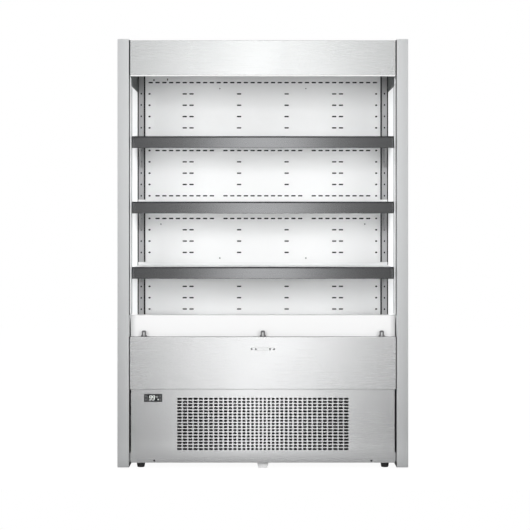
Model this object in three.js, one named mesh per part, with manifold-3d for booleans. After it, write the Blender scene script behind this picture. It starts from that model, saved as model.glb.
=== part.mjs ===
// Open multideck display fridge: an insulated cabinet with an open front, three shelves on slotted
// uprights, an air curtain between canopy and riser, a night blind, a cooling well under the deck and
// a condensing unit behind the grille.
// Millimetres, +Z up. The front faces -Y, and the origin is on the floor under the middle of the cabinet.
import * as THREE from 'three';
import Module from 'manifold-3d';
import { mergeVertices } from 'three/addons/utils/BufferGeometryUtils.js';

const wasm = await Module();
wasm.setup();

// ---- Whole cabinet
const WIDTH = 1200;
const DEPTH = 620;
const HEIGHT = 1776;
const SEAT = 0.3; // gap left between pieces that touch
const SHEET = 2; // folded sheet steel
const FLOOR_CLEARANCE = 8; // under the end panels
const END_THICKNESS = 48;
const EDGE_RADIUS = 4; // front edges of the end panels
const LINER_THICKNESS = 2;
const JAMB_DEPTH = 154; // steel return of each end panel, in front of its white liner
const TOP_THICKNESS = 60;
const BACK_THICKNESS = 60;
const REAR_DUCT_DEPTH = 82;
const DUCT_SHEET = 3;
const FACE_SETBACK = 2; // canopy and front panel, behind the end panels' front edges
const FACE_REVEAL = 3; // gap beside the canopy and the front panel

// ---- Base frame, feet and rail
const FRAME_BOTTOM = 26;
const FRAME_HEIGHT = 36;
const FRAME_TUBE = 45;
const FRAME_FRONT_SETBACK = 50;
const FRAME_REAR_SETBACK = 10;
const TRAY_SHEET = 1.7;
const TRAY_EDGE = 6; // machine tray past the front of the frame
const RAIL_HEIGHT = 15.7;
const RAIL_SETBACK = 12;
const RAIL_SIDE_GAP = 7;
const FOOT_RADIUS = 18;
const FOOT_CUP_HEIGHT = 17;
const FOOT_COLLAR_RADIUS = 9;
const FOOT_INSET = 92; // from the end panels' outer faces
const STEM_RADIUS = 5;
const STEM_CLEARANCE = 1;
const STEM_DEPTH = 32; // thread inside the frame
const SUPPORT_TOP_WIDTH = 50;
const SUPPORT_FOOT_WIDTH = 34;
const SUPPORT_DEPTH = 46;
const SUPPORT_SETBACK = 41;

// ---- Grille panel and controller
const GRILLE_HEIGHT = 287;
const GRILLE_SETBACK = 17;
const GRILLE_SIDE_GAP = 7;
const GRILLE_RETURN = 18;
const GRILLE_HALF_COLUMNS = 11;
const GRILLE_ROWS = 10;
const GRILLE_ROW_PITCH = 23.1;
const GRILLE_LOWEST_ROW = 39.6; // above the panel's bottom edge
const GRILLE_SLOT_HEIGHT = 13;
const GRILLE_PITCH_CENTRE = 27.5;
const GRILLE_PITCH_END = 37;
const GRILLE_OPEN_CENTRE = 0.62; // share of the pitch that is open
const GRILLE_OPEN_END = 0.83;
const CONTROLLER_INSET = 91.5; // its centre, from the grille panel's left end
const CONTROLLER_DROP = 35.7; // its centre, under the panel's top edge
const CONTROLLER_WIDTH = 75;
const CONTROLLER_HEIGHT = 33;
const CONTROLLER_FLANGE = 2.5;
const CONTROLLER_LIP = 2;
const CONTROLLER_BODY_DEPTH = 60;
const KEY_WIDTH = 6;
const KEY_HEIGHT = 4.5;
const KEY_LENGTH = 2.2;
const KEY_TRAVEL = 0.8;
const KEY_CLEARANCE = 0.3;
const KEY_X_SPACING = 60;
const KEY_Z_SPACING = 14;

// ---- Front panel, well and riser
const PANEL_SEAM = 4;
const FRONT_PANEL_HEIGHT = 213;
const FRONT_PANEL_LIP = 18;
const WELL_FLOOR_THICKNESS = 50;
const WELL_GAP = 3; // front panel's lip to the well
const LEDGE_DEPTH = 42.7; // ledge between the front panel and the riser
const RISER_HEIGHT = 88;
const RISER_THICKNESS = 20;
const RISER_SIDE_GAP = 4;
const RETURN_DROP = 34; // return grille under the riser's top
const RETURN_GRILLE_DEPTH = 54;
const RETURN_SLOTS = 14;
const RETURN_OPEN = 0.8; // share of its pitch that is open
const RETURN_RIM = 12;
const DRAIN_INSET = 82; // from the right end panel
const DRAIN_BORE = 9;
const DRAIN_WALL = 3;
const DRAIN_END = 128;
const CATCH_INSET = 60; // from the end panels
const CATCH_HEIGHT = 27;
const CATCH_TOP_WIDTH = 17;
const CATCH_FOOT_WIDTH = 26;
const CATCH_OPENING = 8;
const CATCH_OPENING_HEIGHT = 16.7;
const CATCH_BASE = 3;
const CATCH_NECK = 9;
const CATCH_CHAMFER = 4;
const CATCH_THICKNESS = 3;

// ---- Deck, fans and evaporator
const DECK_PAN_HEIGHT = 12;
const DECK_FLANGE = 34;
const DECK_SIDE_GAP = 2;
const DECK_REAR_RAIL = 24;
const DUCT_PANEL_DROP = 40; // duct panel, below the deck
const EVAP_FAN_SPACING = 230;
const EVAP_FAN_TIP = 74;
const EVAP_FAN_HUB = 22;
const EVAP_LENGTH = 880;
const EVAP_DEPTH = 220;
const EVAP_HEIGHT = 160;
const EVAP_SETBACK = 82; // coil behind the fan deck
const EVAP_FINS = 20;
const EVAP_PLATE = 10;
const EVAP_ROTOR_SETBACK = 9; // rotor's middle behind the fan deck's face
const EVAP_HUB_DEPTH = 24;
const EVAP_BLADE_CHORD = 46;
const EVAP_MOTOR = { radius: 26, length: 34, standoff: 30, armMargin: 8 };
const BLADE_TILT = 28; // degrees
const BLADES = 5;
const SHAFT_RADIUS = 4;
const ARM_WIDTH = 10;
const ARM_THICKNESS = 4;
const FIN_SHARE = 0.4; // fin thickness as a share of its pitch

// ---- Uprights, shelves and back wall
const UPRIGHT_INSET = 16; // its centre line, from the end panels
const UPRIGHT_WIDTH = 22;
const UPRIGHT_DEPTH = 14.7;
const SLOT_PITCH = 25;
const SLOT_WIDTH = 5;
const SLOT_HEIGHT = 14;
const SLOT_COUNT = 31;
const SLOT_START = 100; // lowest slot above the deck level
const FIRST_SHELF_SLOT = 4;
const SLOTS_PER_SHELF = 11; // from one shelf to the next
const SHELF_LEVELS = ['lower', 'middle', 'upper'];
const HOOK_DROP = 29; // upper hook under the shelf's top
const SHELF_SETBACK = 130;
const SHELF_SIDE_GAP = 2;
const SHELF_LIP = 44;
const SHELF_UPSTAND = 14;
const SHELF_REAR_GAP = 4;
const STRIP_THICKNESS = 1.7;
const STRIP_HEIGHT = 46;
const STRIP_DROP = 0.5; // under the tray's top
const STRIP_FOOT = 8;
const BRACKET_THICKNESS = 3;
const BRACKET_REAR_HEIGHT = 73;
const BRACKET_FRONT_HEIGHT = 22;
const BRACKET_FRONT_GAP = 14;
const BRACKET_HEEL = 30; // full height beside the upright
const HOOK_REACH = 7;
const HOOK_NECK = 8;
const HOOK_BARB = 4;
const WALL_SLOT_WIDTH = 20;
const WALL_SLOT_HEIGHT = 5;
const WALL_SLOT_PITCH = 30;
const WALL_ROW_PITCH = 50;
const WALL_TOP_ROW = 30; // under the ceiling
const WALL_FULL_ROWS = [0, 6, 10, 12];
const WALL_SLOT_MARGIN = 40; // past the last slot, beside the upright
const WALL_RIB_SLOT = 6; // slot left out for the stiffening rib, in the lower rows

// ---- Canopy, air outlet and night blind
const CANOPY_DROP = 5; // canopy under the end panels' tops
const CANOPY_HEIGHT = 146;
const CANOPY_RETURN = 58;
const CANOPY_HEM = 12;
const CEILING_RISE = 40; // ceiling above the canopy's hem
const OUTLET_SETBACK = 63;
const OUTLET_DEPTH = 53;
const OUTLET_HEIGHT = 20;
const OUTLET_DROP = 29; // outlet's lip under the ceiling
const OUTLET_OPEN = 0.88; // share of the outlet's pitch that is open
const OUTLET_RIM = 4;
const OUTLET_CELLS = 16;
const OUTLET_LIP = 10;
const OUTLET_SIDE_GAP = 5;
const ROLLER_RADIUS = 16;
const ROLLER_DROP = 18.7; // axis under the insulated top
const ROLLER_PIN = 4.5;
const ROLLER_GAP = 5; // behind the bare roller
const PIN_CLEARANCE = 0.6;
const EAR_THICKNESS = 3;
const EAR_INSET = 9;
const EAR_MARGIN = 4;
const CLOTH_THICKNESS = 0.8;
const CLOTH_INSET = 22; // from the end panels
const BAR_INSET = 16;
const BAR_WALL = 4;
const BAR_DEPTH = 14;
const BAR_HEIGHT = 22;
const BAR_GROOVE = 8;
const BAR_ABOVE_HEM = 8;

// ---- Condensing unit
const CONDENSER_LENGTH = 390;
const CONDENSER_OFFSET = -135; // its middle, left of the cabinet's middle
const CONDENSER_SETBACK = 2; // in front of the frame's front face
const CONDENSER_DEPTH = 60;
const CONDENSER_HEIGHT = 221;
const CONDENSER_FINS = 20;
const CONDENSER_PLATE = 20;
const SHROUD_DEPTH = 50;
const FAN_TIP = 98;
const FAN_HUB = 34;
const FAN_RUNNING_GAP = 4;
const ROTOR_SETBACK = 12; // rotor's middle behind the shroud's rear sheet
const HUB_DEPTH = 28;
const BLADE_CHORD = 62;
const FAN_MOTOR = { radius: 38, length: 56, standoff: 40, armMargin: 6 };
const COMPRESSOR_GAP = 48; // beside the condenser
const COMPRESSOR_Y = 60;
const COMPRESSOR_RADIUS = 82;
const COMPRESSOR_HEIGHT = 180;
const COMPRESSOR_LIFT = 18;
const MOUNT_PLATE = 4;
const MOUNT_LENGTH = 190;
const MOUNT_WIDTH = 130;
const MOUNT_MARGIN = 14;
const MOUNT_RADIUS = 12;
const SUCTION_GAP = 26; // suction pipe beside the shell
const DISCHARGE_GAP = 30;
const PORT_DROP = 24; // condenser's inlet under its top
const PIPE_RADIUS = 5;
const TRAY_INSET = 22; // from the right end panel
const TRAY_LENGTH = 150;
const TRAY_Y = [-60, 120];
const EVAPORATION_TRAY_HEIGHT = 55;
const TRAY_WALL = 3;
const BOX_INSET = 32; // from the left end panel
const BOX_LENGTH = 150;
const BOX_Y = [-150, 40];
const ELECTRICAL_BOX_HEIGHT = 166;
const REAR_PANEL_INSET = 20;
const LOUVRE_ROWS = 8;
const LOUVRE_LENGTH = 220;
const LOUVRE_HEIGHT = 8;
const LOUVRE_SPACING = 165; // middle of each row, either side of the cabinet's middle
const LOUVRE_TOP_MARGIN = 40;
const LOUVRE_PITCH = 24;
const GLAND_INSET = 122; // from the left end panel
const GLAND_Z = 110;
const GLAND_RADIUS = 17;
const GLAND_LENGTH = 18;
const GLAND_BORE = 4;

// ---- Places worked out from the sizes above
const FRONT = -DEPTH / 2;
const REAR = DEPTH / 2;
const INNER = WIDTH / 2 - END_THICKNESS;
const INSIDE = INNER - SEAT;
const FACE = FRONT + FACE_SETBACK;
const FACE_HALF = INNER - FACE_REVEAL;
const BACK_PANEL_FRONT = REAR - BACK_THICKNESS;
const WALL_FACE = BACK_PANEL_FRONT - REAR_DUCT_DEPTH - DUCT_SHEET;
const CANOPY_TOP = HEIGHT - CANOPY_DROP;
const CANOPY_BOTTOM = CANOPY_TOP - CANOPY_HEIGHT;
const CEILING = CANOPY_BOTTOM + CEILING_RISE;
const TOP_UNDERSIDE = CANOPY_TOP - SHEET - SEAT - TOP_THICKNESS;
const FRAME_TOP = FRAME_BOTTOM + FRAME_HEIGHT;
const FRAME_FRONT = FRONT + FRAME_FRONT_SETBACK;
const FRAME_REAR = REAR - FRAME_REAR_SETBACK;
const MACHINE_FLOOR = FRAME_TOP + SEAT + TRAY_SHEET;
const GRILLE_FACE = FRONT + GRILLE_SETBACK;
const GRILLE_BOTTOM = FRAME_BOTTOM + RAIL_HEIGHT + SEAT;
const GRILLE_TOP = GRILLE_BOTTOM + GRILLE_HEIGHT;
const GRILLE_HALF = INNER - GRILLE_SIDE_GAP;
const CONTROLLER_X = CONTROLLER_INSET - GRILLE_HALF;
const CONTROLLER_Z = GRILLE_TOP - CONTROLLER_DROP;
const PANEL_BOTTOM = GRILLE_TOP + PANEL_SEAM;
const PANEL_TOP = PANEL_BOTTOM + FRONT_PANEL_HEIGHT;
const WELL_BOTTOM = PANEL_BOTTOM + SHEET + WELL_GAP;
const WELL_FLOOR = WELL_BOTTOM + WELL_FLOOR_THICKNESS;
const RISER_FACE = FACE + LEDGE_DEPTH + SEAT;
const RISER_BACK = RISER_FACE + RISER_THICKNESS;
const RISER_TOP = PANEL_TOP + RISER_HEIGHT;
const DECK_LEVEL = RISER_TOP - RETURN_DROP;
const RETURN_BACK = RISER_BACK + RETURN_GRILLE_DEPTH;
const DECK_FRONT = RETURN_BACK + SHEET;
const FAN_DECK_Y = DECK_FRONT - DECK_FLANGE / 2;
const DUCT_PANEL_BOTTOM = DECK_LEVEL - DUCT_PANEL_DROP;
const UPRIGHT_X = INNER - UPRIGHT_INSET;
const WALL_SLOTS_PER_SIDE = Math.floor((UPRIGHT_X - UPRIGHT_WIDTH / 2 - WALL_SLOT_MARGIN) / WALL_SLOT_PITCH);
const UPRIGHT_FACE = WALL_FACE - SEAT - UPRIGHT_DEPTH;
const SHELF_FRONT = FRONT + SHELF_SETBACK;
const SHELF_REAR = UPRIGHT_FACE - SHELF_REAR_GAP;
const SHELF_HALF = INNER - SHELF_SIDE_GAP;
const SHELF_LOWEST_TOP = DECK_LEVEL + SLOT_START + SLOT_PITCH * FIRST_SHELF_SLOT + HOOK_DROP;
const OUTLET_FRONT = FACE + OUTLET_SETBACK;
const OUTLET_BACK = OUTLET_FRONT + OUTLET_DEPTH;
const OUTLET_BOTTOM = CEILING - OUTLET_DROP;
const BAR_BOTTOM = CANOPY_BOTTOM + BAR_ABOVE_HEM;
const ROLLER_Z = TOP_UNDERSIDE - ROLLER_DROP;
const ROLLER_Y = OUTLET_FRONT - SHEET - SEAT - ROLLER_RADIUS - ROLLER_GAP;
const BLIND_Y = ROLLER_Y - ROLLER_RADIUS - SEAT - CLOTH_THICKNESS / 2;
const EAR_X = INNER - EAR_INSET;
const CONDENSER_X = [CONDENSER_OFFSET - CONDENSER_LENGTH / 2, CONDENSER_OFFSET + CONDENSER_LENGTH / 2];
const CONDENSER_FRONT = FRAME_FRONT - CONDENSER_SETBACK;
const CONDENSER_REAR = CONDENSER_FRONT + CONDENSER_DEPTH;
const CONDENSER_TOP = MACHINE_FLOOR + SEAT + CONDENSER_HEIGHT;
const SHROUD_REAR = CONDENSER_REAR + SEAT + SHROUD_DEPTH;
const REAR_PANEL_BACK = REAR - REAR_PANEL_INSET;
const COMPRESSOR_X = CONDENSER_X[1] + COMPRESSOR_GAP + COMPRESSOR_RADIUS;
const TRAY_X = [INNER - TRAY_INSET - TRAY_LENGTH, INNER - TRAY_INSET];
const BOX_X = [BOX_INSET - INNER, BOX_INSET + BOX_LENGTH - INNER];

const SIDES = [[-1, 'left'], [1, 'right']];
const BASIS_X = new THREE.Matrix4().makeBasis(axis(0, 1, 0), axis(0, 0, 1), axis(1, 0, 0));
const BASIS_Y = new THREE.Matrix4().makeBasis(axis(1, 0, 0), axis(0, 0, 1), axis(0, -1, 0));

// ---- Materials
const finish = (color, roughness, metalness) =>
  new THREE.MeshStandardMaterial({ color, roughness, metalness });
const brushedSteel = finish(0xd5d6d6, 0.32, 0.9);
const darkSteel = finish(0x8c8e90, 0.35, 0.9);
const greySteel = finish(0xc6c9c9, 0.5, 0.2);
const whitePaint = finish(0xf4f5f5, 0.4, 0);
const galvanised = finish(0xa9adb0, 0.45, 0.8);
const blackPaint = finish(0x1b1c1e, 0.5, 0.1);
const blackPlastic = finish(0x202124, 0.55, 0);
const greyPlastic = finish(0xc9cccd, 0.6, 0);
const aluminium = finish(0xb9bcc0, 0.4, 0.9);
const cloth = finish(0x8f959b, 0.85, 0);

// ---- Outlines and solids
function axis(x, y, z) {
  return new THREE.Vector3(x, y, z);
}

function outline(points) {
  return new THREE.Shape(points.map(([a, b]) => new THREE.Vector2(a, b)));
}

function rectangle([a0, a1], [b0, b1]) {
  return [[a0, b0], [a1, b0], [a1, b1], [a0, b1]];
}

function circle(a, b, radius, steps) {
  return Array.from({ length: steps }, (_, i) => {
    const angle = (2 * Math.PI * i) / steps;
    return [a + radius * Math.cos(angle), b + radius * Math.sin(angle)];
  });
}

// A strip of sheet along an open path: the sheet lies on the left of the path, with mitred folds.
function folded(path, thickness = SHEET) {
  const normals = path.slice(1).map(([a, b], i) => {
    const [da, db] = [a - path[i][0], b - path[i][1]];
    return new THREE.Vector2(-db, da).normalize();
  });
  const inner = path.map(([a, b], i) => {
    const before = normals[Math.max(i - 1, 0)];
    const after = normals[Math.min(i, normals.length - 1)];
    const scale = thickness / (1 + before.dot(after));
    return [a + (before.x + after.x) * scale, b + (before.y + after.y) * scale];
  });
  return [...path, ...inner.reverse()];
}

function extruded(shapes, length) {
  return new THREE.ExtrudeGeometry(shapes, { depth: length, steps: 1, bevelEnabled: false });
}

// A prism of the outline, with any holes cut right through it.
function pierced(points, length, holes = []) {
  const plate = extruded(outline(points), length);
  if (holes.length === 0) return plate;
  const cutters = extruded(holes.map((hole) => outline(hole)), length + 2).translate(0, 0, -1);
  return cut(plate, cutters);
}

function alongX(points, [x0, x1], holes) {
  return pierced(points, x1 - x0, holes).applyMatrix4(BASIS_X).translate(x0, 0, 0);
}

function alongY(points, [y0, y1], holes) {
  return pierced(points, y1 - y0, holes).applyMatrix4(BASIS_Y).translate(0, y1, 0);
}

function alongZ(points, [z0, z1], holes) {
  return pierced(points, z1 - z0, holes).translate(0, 0, z0);
}

function box([x0, x1], [y0, y1], [z0, z1]) {
  return new THREE.BoxGeometry(x1 - x0, y1 - y0, z1 - z0)
    .translate((x0 + x1) / 2, (y0 + y1) / 2, (z0 + z1) / 2);
}

function turned(profile, steps) {
  const points = profile.map(([radius, height]) => new THREE.Vector2(radius, height));
  return new THREE.LatheGeometry(points, steps).rotateX(Math.PI / 2);
}

function cylinder(radius, [z0, z1], steps) {
  return turned([[0, z0], [radius, z0], [radius, z1], [0, z1]], steps);
}

function tube(points, radius, steps) {
  const curve = new THREE.CatmullRomCurve3(points.map((p) => axis(...p)), false, 'centripetal');
  const section = outline(circle(0, 0, radius, 6));
  return new THREE.ExtrudeGeometry(section, { steps, extrudePath: curve });
}

function solid(geometry) {
  const bare = geometry.index ? geometry.toNonIndexed() : geometry.clone();
  for (const name of ['normal', 'uv']) bare.deleteAttribute(name);
  const merged = mergeVertices(bare, 1e-3);
  const triVerts = new Uint32Array(merged.index.array);
  const vertProperties = new Float32Array(merged.attributes.position.array);
  return new wasm.Manifold(new wasm.Mesh({ numProp: 3, vertProperties, triVerts }));
}

function surface(body) {
  const { numProp, vertProperties, triVerts } = body.getMesh();
  const geometry = new THREE.BufferGeometry();
  const positions = new THREE.InterleavedBuffer(vertProperties, numProp);
  geometry.setAttribute('position', new THREE.InterleavedBufferAttribute(positions, 3, 0));
  geometry.setIndex([...triVerts]);
  const plain = geometry.toNonIndexed();
  plain.computeVertexNormals();
  return plain;
}

function joined(...geometries) {
  return surface(geometries.map(solid).reduce((all, next) => all.add(next)));
}

function cut(geometry, ...tools) {
  return surface(tools.map(solid).reduce((rest, tool) => rest.subtract(tool), solid(geometry)));
}

function part(name, geometry, material, [x, y, z] = [0, 0, 0]) {
  const mesh = new THREE.Mesh(geometry, material);
  mesh.name = name;
  mesh.position.set(x, y, z);
  return mesh;
}

function group(...meshes) {
  const assembly = new THREE.Group();
  assembly.add(...meshes.flat());
  return assembly;
}

const span = (half) => [-half, half];
const about = (centre, size) => [centre - size / 2, centre + size / 2];

// ---- Carcase
function endPanel(side, word) {
  const rebate = INNER + LINER_THICKNESS + SEAT;
  const corner = [30, 60].map((degrees) => {
    const turn = THREE.MathUtils.degToRad(degrees);
    return [WIDTH / 2 - EDGE_RADIUS * (1 - Math.sin(turn)), FRONT + EDGE_RADIUS * (1 - Math.cos(turn))];
  });
  const plan = [
    [INNER, FRONT], [WIDTH / 2 - EDGE_RADIUS, FRONT], ...corner, [WIDTH / 2, FRONT + EDGE_RADIUS],
    [WIDTH / 2, REAR], [INNER, REAR], [INNER, WALL_FACE + DUCT_SHEET], [rebate, WALL_FACE + DUCT_SHEET],
    [rebate, FRONT + JAMB_DEPTH], [INNER, FRONT + JAMB_DEPTH],
  ];
  const mirrored = plan.map(([x, y]) => [side * x, y]);
  return part(`end_panel_${word}`, alongZ(mirrored, [FLOOR_CLEARANCE, HEIGHT]), greySteel);
}

function sideLiner(side, word) {
  const inner = side > 0 ? [INNER, INNER + LINER_THICKNESS] : [-INNER - LINER_THICKNESS, -INNER];
  const depth = [FRONT + JAMB_DEPTH + SEAT, WALL_FACE + DUCT_SHEET - SEAT];
  return part(`side_liner_${word}`, box(inner, depth, [DECK_LEVEL, CEILING]), whitePaint);
}

function carcase() {
  const back = box(span(INSIDE), [BACK_PANEL_FRONT, REAR], [WELL_BOTTOM, TOP_UNDERSIDE - SEAT]);
  const topFront = FACE + SHEET + SEAT;
  const top = box(span(INSIDE), [topFront, REAR], [TOP_UNDERSIDE, TOP_UNDERSIDE + TOP_THICKNESS]);
  return group(
    SIDES.map(([side, word]) => endPanel(side, word)),
    SIDES.map(([side, word]) => sideLiner(side, word)),
    part('back_panel', back, greySteel),
    part('top_panel', top, greySteel),
    part('base_well', baseWell(), whitePaint),
    part('base_frame', baseFrame(), galvanised),
    part('machine_tray', machineTray(), galvanised),
    part('centre_support', centreSupport(), greyPlastic),
  );
}

// Insulated floor and front wall in one foamed section, with the drain through its floor.
function baseWell() {
  const front = FACE + SHEET + SEAT;
  const section = [
    [front, WELL_BOTTOM], [BACK_PANEL_FRONT - SEAT, WELL_BOTTOM], [BACK_PANEL_FRONT - SEAT, WELL_FLOOR],
    [RISER_BACK, WELL_FLOOR], [RISER_BACK, PANEL_TOP - SHEET - SEAT], [front, PANEL_TOP - SHEET - SEAT],
  ];
  const drainX = INNER - DRAIN_INSET;
  const spigot = cylinder(DRAIN_BORE + DRAIN_WALL, [DRAIN_END, WELL_BOTTOM + 1], 12).translate(drainX, 0, 0);
  const bore = cylinder(DRAIN_BORE, [DRAIN_END - 1, WELL_FLOOR + 1], 12).translate(drainX, 0, 0);
  return cut(joined(alongX(section, span(INSIDE)), spigot), bore);
}

// Welded tube ring, bored for the feet, with the front rail under the grille.
function baseFrame() {
  const middle = rectangle(span(INSIDE - FRAME_TUBE), [FRAME_FRONT + FRAME_TUBE, FRAME_REAR - FRAME_TUBE]);
  const bores = footPlaces().map(([, x, y]) => circle(x, y, STEM_RADIUS + STEM_CLEARANCE, 12));
  const ring = alongZ(rectangle(span(INSIDE), [FRAME_FRONT, FRAME_REAR]), [FRAME_BOTTOM, FRAME_TOP],
    [middle, ...bores]);
  const rail = box(span(INNER - RAIL_SIDE_GAP), [FRONT + RAIL_SETBACK, FRAME_FRONT + 1],
    [FRAME_BOTTOM, FRAME_BOTTOM + RAIL_HEIGHT]);
  return joined(ring, rail);
}

// Tray under the machinery, stiffened by the cross member between the frame's front and rear tubes.
function machineTray() {
  const tray = box(span(INSIDE), [FRAME_FRONT - TRAY_EDGE, REAR_PANEL_BACK], [FRAME_TOP + SEAT, MACHINE_FLOOR]);
  const member = box(span(FRAME_TUBE / 2), [FRAME_FRONT + FRAME_TUBE + SEAT, FRAME_REAR - FRAME_TUBE - SEAT],
    [FRAME_BOTTOM, FRAME_TOP + SEAT + 1]);
  return joined(tray, member);
}

function centreSupport() {
  const shape = [
    [-SUPPORT_FOOT_WIDTH / 2, 0], [SUPPORT_FOOT_WIDTH / 2, 0],
    [SUPPORT_TOP_WIDTH / 2, FRAME_BOTTOM - SEAT], [-SUPPORT_TOP_WIDTH / 2, FRAME_BOTTOM - SEAT],
  ];
  return alongY(shape, [FRONT + SUPPORT_SETBACK, FRONT + SUPPORT_SETBACK + SUPPORT_DEPTH]);
}

function footPlaces() {
  const rows = [['front', FRAME_FRONT + FRAME_TUBE / 2], ['rear', FRAME_REAR - FRAME_TUBE / 2]];
  const x = WIDTH / 2 - FOOT_INSET;
  return rows.flatMap(([row, y]) => SIDES.map(([side, word]) => [`${row}_${word}`, side * x, y]));
}

function feet() {
  const profile = [
    [0, 0], [FOOT_RADIUS - 2, 0], [FOOT_RADIUS, 3], [FOOT_RADIUS, FOOT_CUP_HEIGHT],
    [FOOT_COLLAR_RADIUS, FOOT_CUP_HEIGHT + 4], [FOOT_COLLAR_RADIUS, FRAME_BOTTOM - SEAT],
    [STEM_RADIUS, FRAME_BOTTOM - SEAT], [STEM_RADIUS, FRAME_BOTTOM + STEM_DEPTH],
    [0, FRAME_BOTTOM + STEM_DEPTH],
  ];
  return group(footPlaces().map(([word, x, y]) =>
    part(`foot_${word}`, turned(profile, 10), blackPlastic, [x, y, 0])));
}

// ---- Grille panel: a shallow tray whose slots grow wider and further apart towards its ends.
function grilleSlots() {
  const slots = [];
  let edge = 0;
  for (let i = 0; i < GRILLE_HALF_COLUMNS; i += 1) {
    const share = i / (GRILLE_HALF_COLUMNS - 1);
    const pitch = THREE.MathUtils.lerp(GRILLE_PITCH_CENTRE, GRILLE_PITCH_END, share);
    const half = (pitch * THREE.MathUtils.lerp(GRILLE_OPEN_CENTRE, GRILLE_OPEN_END, share)) / 2;
    const centre = edge + pitch / 2;
    edge += pitch;
    for (let row = 0; row < GRILLE_ROWS; row += 1) {
      const z = GRILLE_BOTTOM + GRILLE_LOWEST_ROW + row * GRILLE_ROW_PITCH;
      const rows = [z - GRILLE_SLOT_HEIGHT / 2, z + GRILLE_SLOT_HEIGHT / 2];
      slots.push(rectangle([centre - half, centre + half], rows));
      slots.push(rectangle([-centre - half, -centre + half], rows));
    }
  }
  return slots;
}

function grillePanel() {
  const heights = [GRILLE_BOTTOM, GRILLE_TOP];
  const aperture = rectangle(
    about(CONTROLLER_X, CONTROLLER_WIDTH - 2 * CONTROLLER_LIP),
    about(CONTROLLER_Z, CONTROLLER_HEIGHT - 2 * CONTROLLER_LIP),
  );
  const face = alongY(rectangle(span(GRILLE_HALF), heights), [GRILLE_FACE, GRILLE_FACE + SHEET],
    [...grilleSlots(), aperture]);
  const hollow = rectangle(span(GRILLE_HALF - SHEET), [GRILLE_BOTTOM + SHEET, GRILLE_TOP - SHEET]);
  const returns = alongY(rectangle(span(GRILLE_HALF), heights),
    [GRILLE_FACE, GRILLE_FACE + GRILLE_RETURN], [hollow]);
  return joined(face, returns);
}

// ---- Controller: a flanged module in the grille panel with four sprung keys round its display.
function keyPlaces() {
  const rows = [['upper', KEY_Z_SPACING / 2], ['lower', -KEY_Z_SPACING / 2]];
  return rows.flatMap(([row, z]) => SIDES.map(([side, word]) => [
    `${row}_${word}`, CONTROLLER_X + (side * KEY_X_SPACING) / 2, CONTROLLER_Z + z]));
}

function controls() {
  const flangeFront = GRILLE_FACE - SEAT - CONTROLLER_FLANGE;
  const inset = CONTROLLER_LIP + SEAT;
  const flange = box(about(CONTROLLER_X, CONTROLLER_WIDTH), [flangeFront, GRILLE_FACE - SEAT],
    about(CONTROLLER_Z, CONTROLLER_HEIGHT));
  const body = box(about(CONTROLLER_X, CONTROLLER_WIDTH - 2 * inset),
    [flangeFront + 1, flangeFront + CONTROLLER_BODY_DEPTH], about(CONTROLLER_Z, CONTROLLER_HEIGHT - 2 * inset));
  const pocketDepth = KEY_LENGTH + KEY_TRAVEL + SEAT;
  const pockets = keyPlaces().map(([, x, z]) => box(about(x, KEY_WIDTH + 2 * KEY_CLEARANCE),
    [flangeFront - 1, flangeFront + pocketDepth], about(z, KEY_HEIGHT + 2 * KEY_CLEARANCE)));
  const key = new THREE.BoxGeometry(KEY_WIDTH, KEY_LENGTH, KEY_HEIGHT);
  const keys = keyPlaces().map(([word, x, z]) =>
    part(`key_${word}`, key, greyPlastic, [x, flangeFront + KEY_LENGTH / 2, z]));
  return group(part('controller', cut(joined(flange, body), ...pockets), blackPlastic), keys);
}

// ---- Front panel, riser and blind catches
function frontOfWell() {
  const panelPath = [
    [FACE + LEDGE_DEPTH, PANEL_TOP], [FACE, PANEL_TOP], [FACE, PANEL_BOTTOM],
    [FACE + FRONT_PANEL_LIP, PANEL_BOTTOM],
  ];
  const catchAt = (word, x) =>
    part(`blind_catch_${word}`, blindCatch(), galvanised, [x, BLIND_Y, PANEL_TOP + SEAT]);
  return group(
    part('front_panel', alongX(folded(panelPath), span(FACE_HALF)), brushedSteel),
    part('riser', riser(), whitePaint),
    catchAt('left', CATCH_INSET - INNER),
    catchAt('centre', 0),
    catchAt('right', INNER - CATCH_INSET),
  );
}

// Arched catch on flared feet: the pull bar's groove drops over its top.
function blindCatch() {
  const [top, foot, gap] = [CATCH_TOP_WIDTH / 2, CATCH_FOOT_WIDTH / 2, CATCH_OPENING / 2];
  const shoulder = CATCH_HEIGHT - CATCH_CHAMFER;
  const arch = [
    [-foot, 0], [-gap, 0], [-gap, CATCH_OPENING_HEIGHT], [gap, CATCH_OPENING_HEIGHT], [gap, 0], [foot, 0],
    [foot, CATCH_BASE], [top, CATCH_NECK], [top, shoulder], [top - CATCH_CHAMFER, CATCH_HEIGHT],
    [CATCH_CHAMFER - top, CATCH_HEIGHT], [-top, shoulder], [-top, CATCH_NECK], [-foot, CATCH_BASE],
  ];
  return alongY(arch, [-CATCH_THICKNESS / 2, CATCH_THICKNESS / 2]);
}

// Folded riser: its rear lip is the slotted return grille, resting on the fan deck's flange.
function riser() {
  const half = INNER - RISER_SIDE_GAP;
  const lip = DECK_LEVEL + SEAT;
  const path = [
    [RETURN_BACK, lip + SHEET], [RISER_BACK, lip + SHEET], [RISER_BACK, RISER_TOP],
    [RISER_FACE, RISER_TOP], [RISER_FACE, PANEL_TOP - SHEET],
  ];
  const pitch = (2 * half) / RETURN_SLOTS;
  const slots = Array.from({ length: RETURN_SLOTS }, (_, i) => {
    const centre = -half + pitch * (i + 0.5);
    return box(about(centre, pitch * RETURN_OPEN), [RISER_BACK + RETURN_RIM, RETURN_BACK - RETURN_RIM],
      [lip - 1, lip + SHEET + 1]);
  });
  return cut(alongX(folded(path), span(half)), joined(...slots));
}

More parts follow.
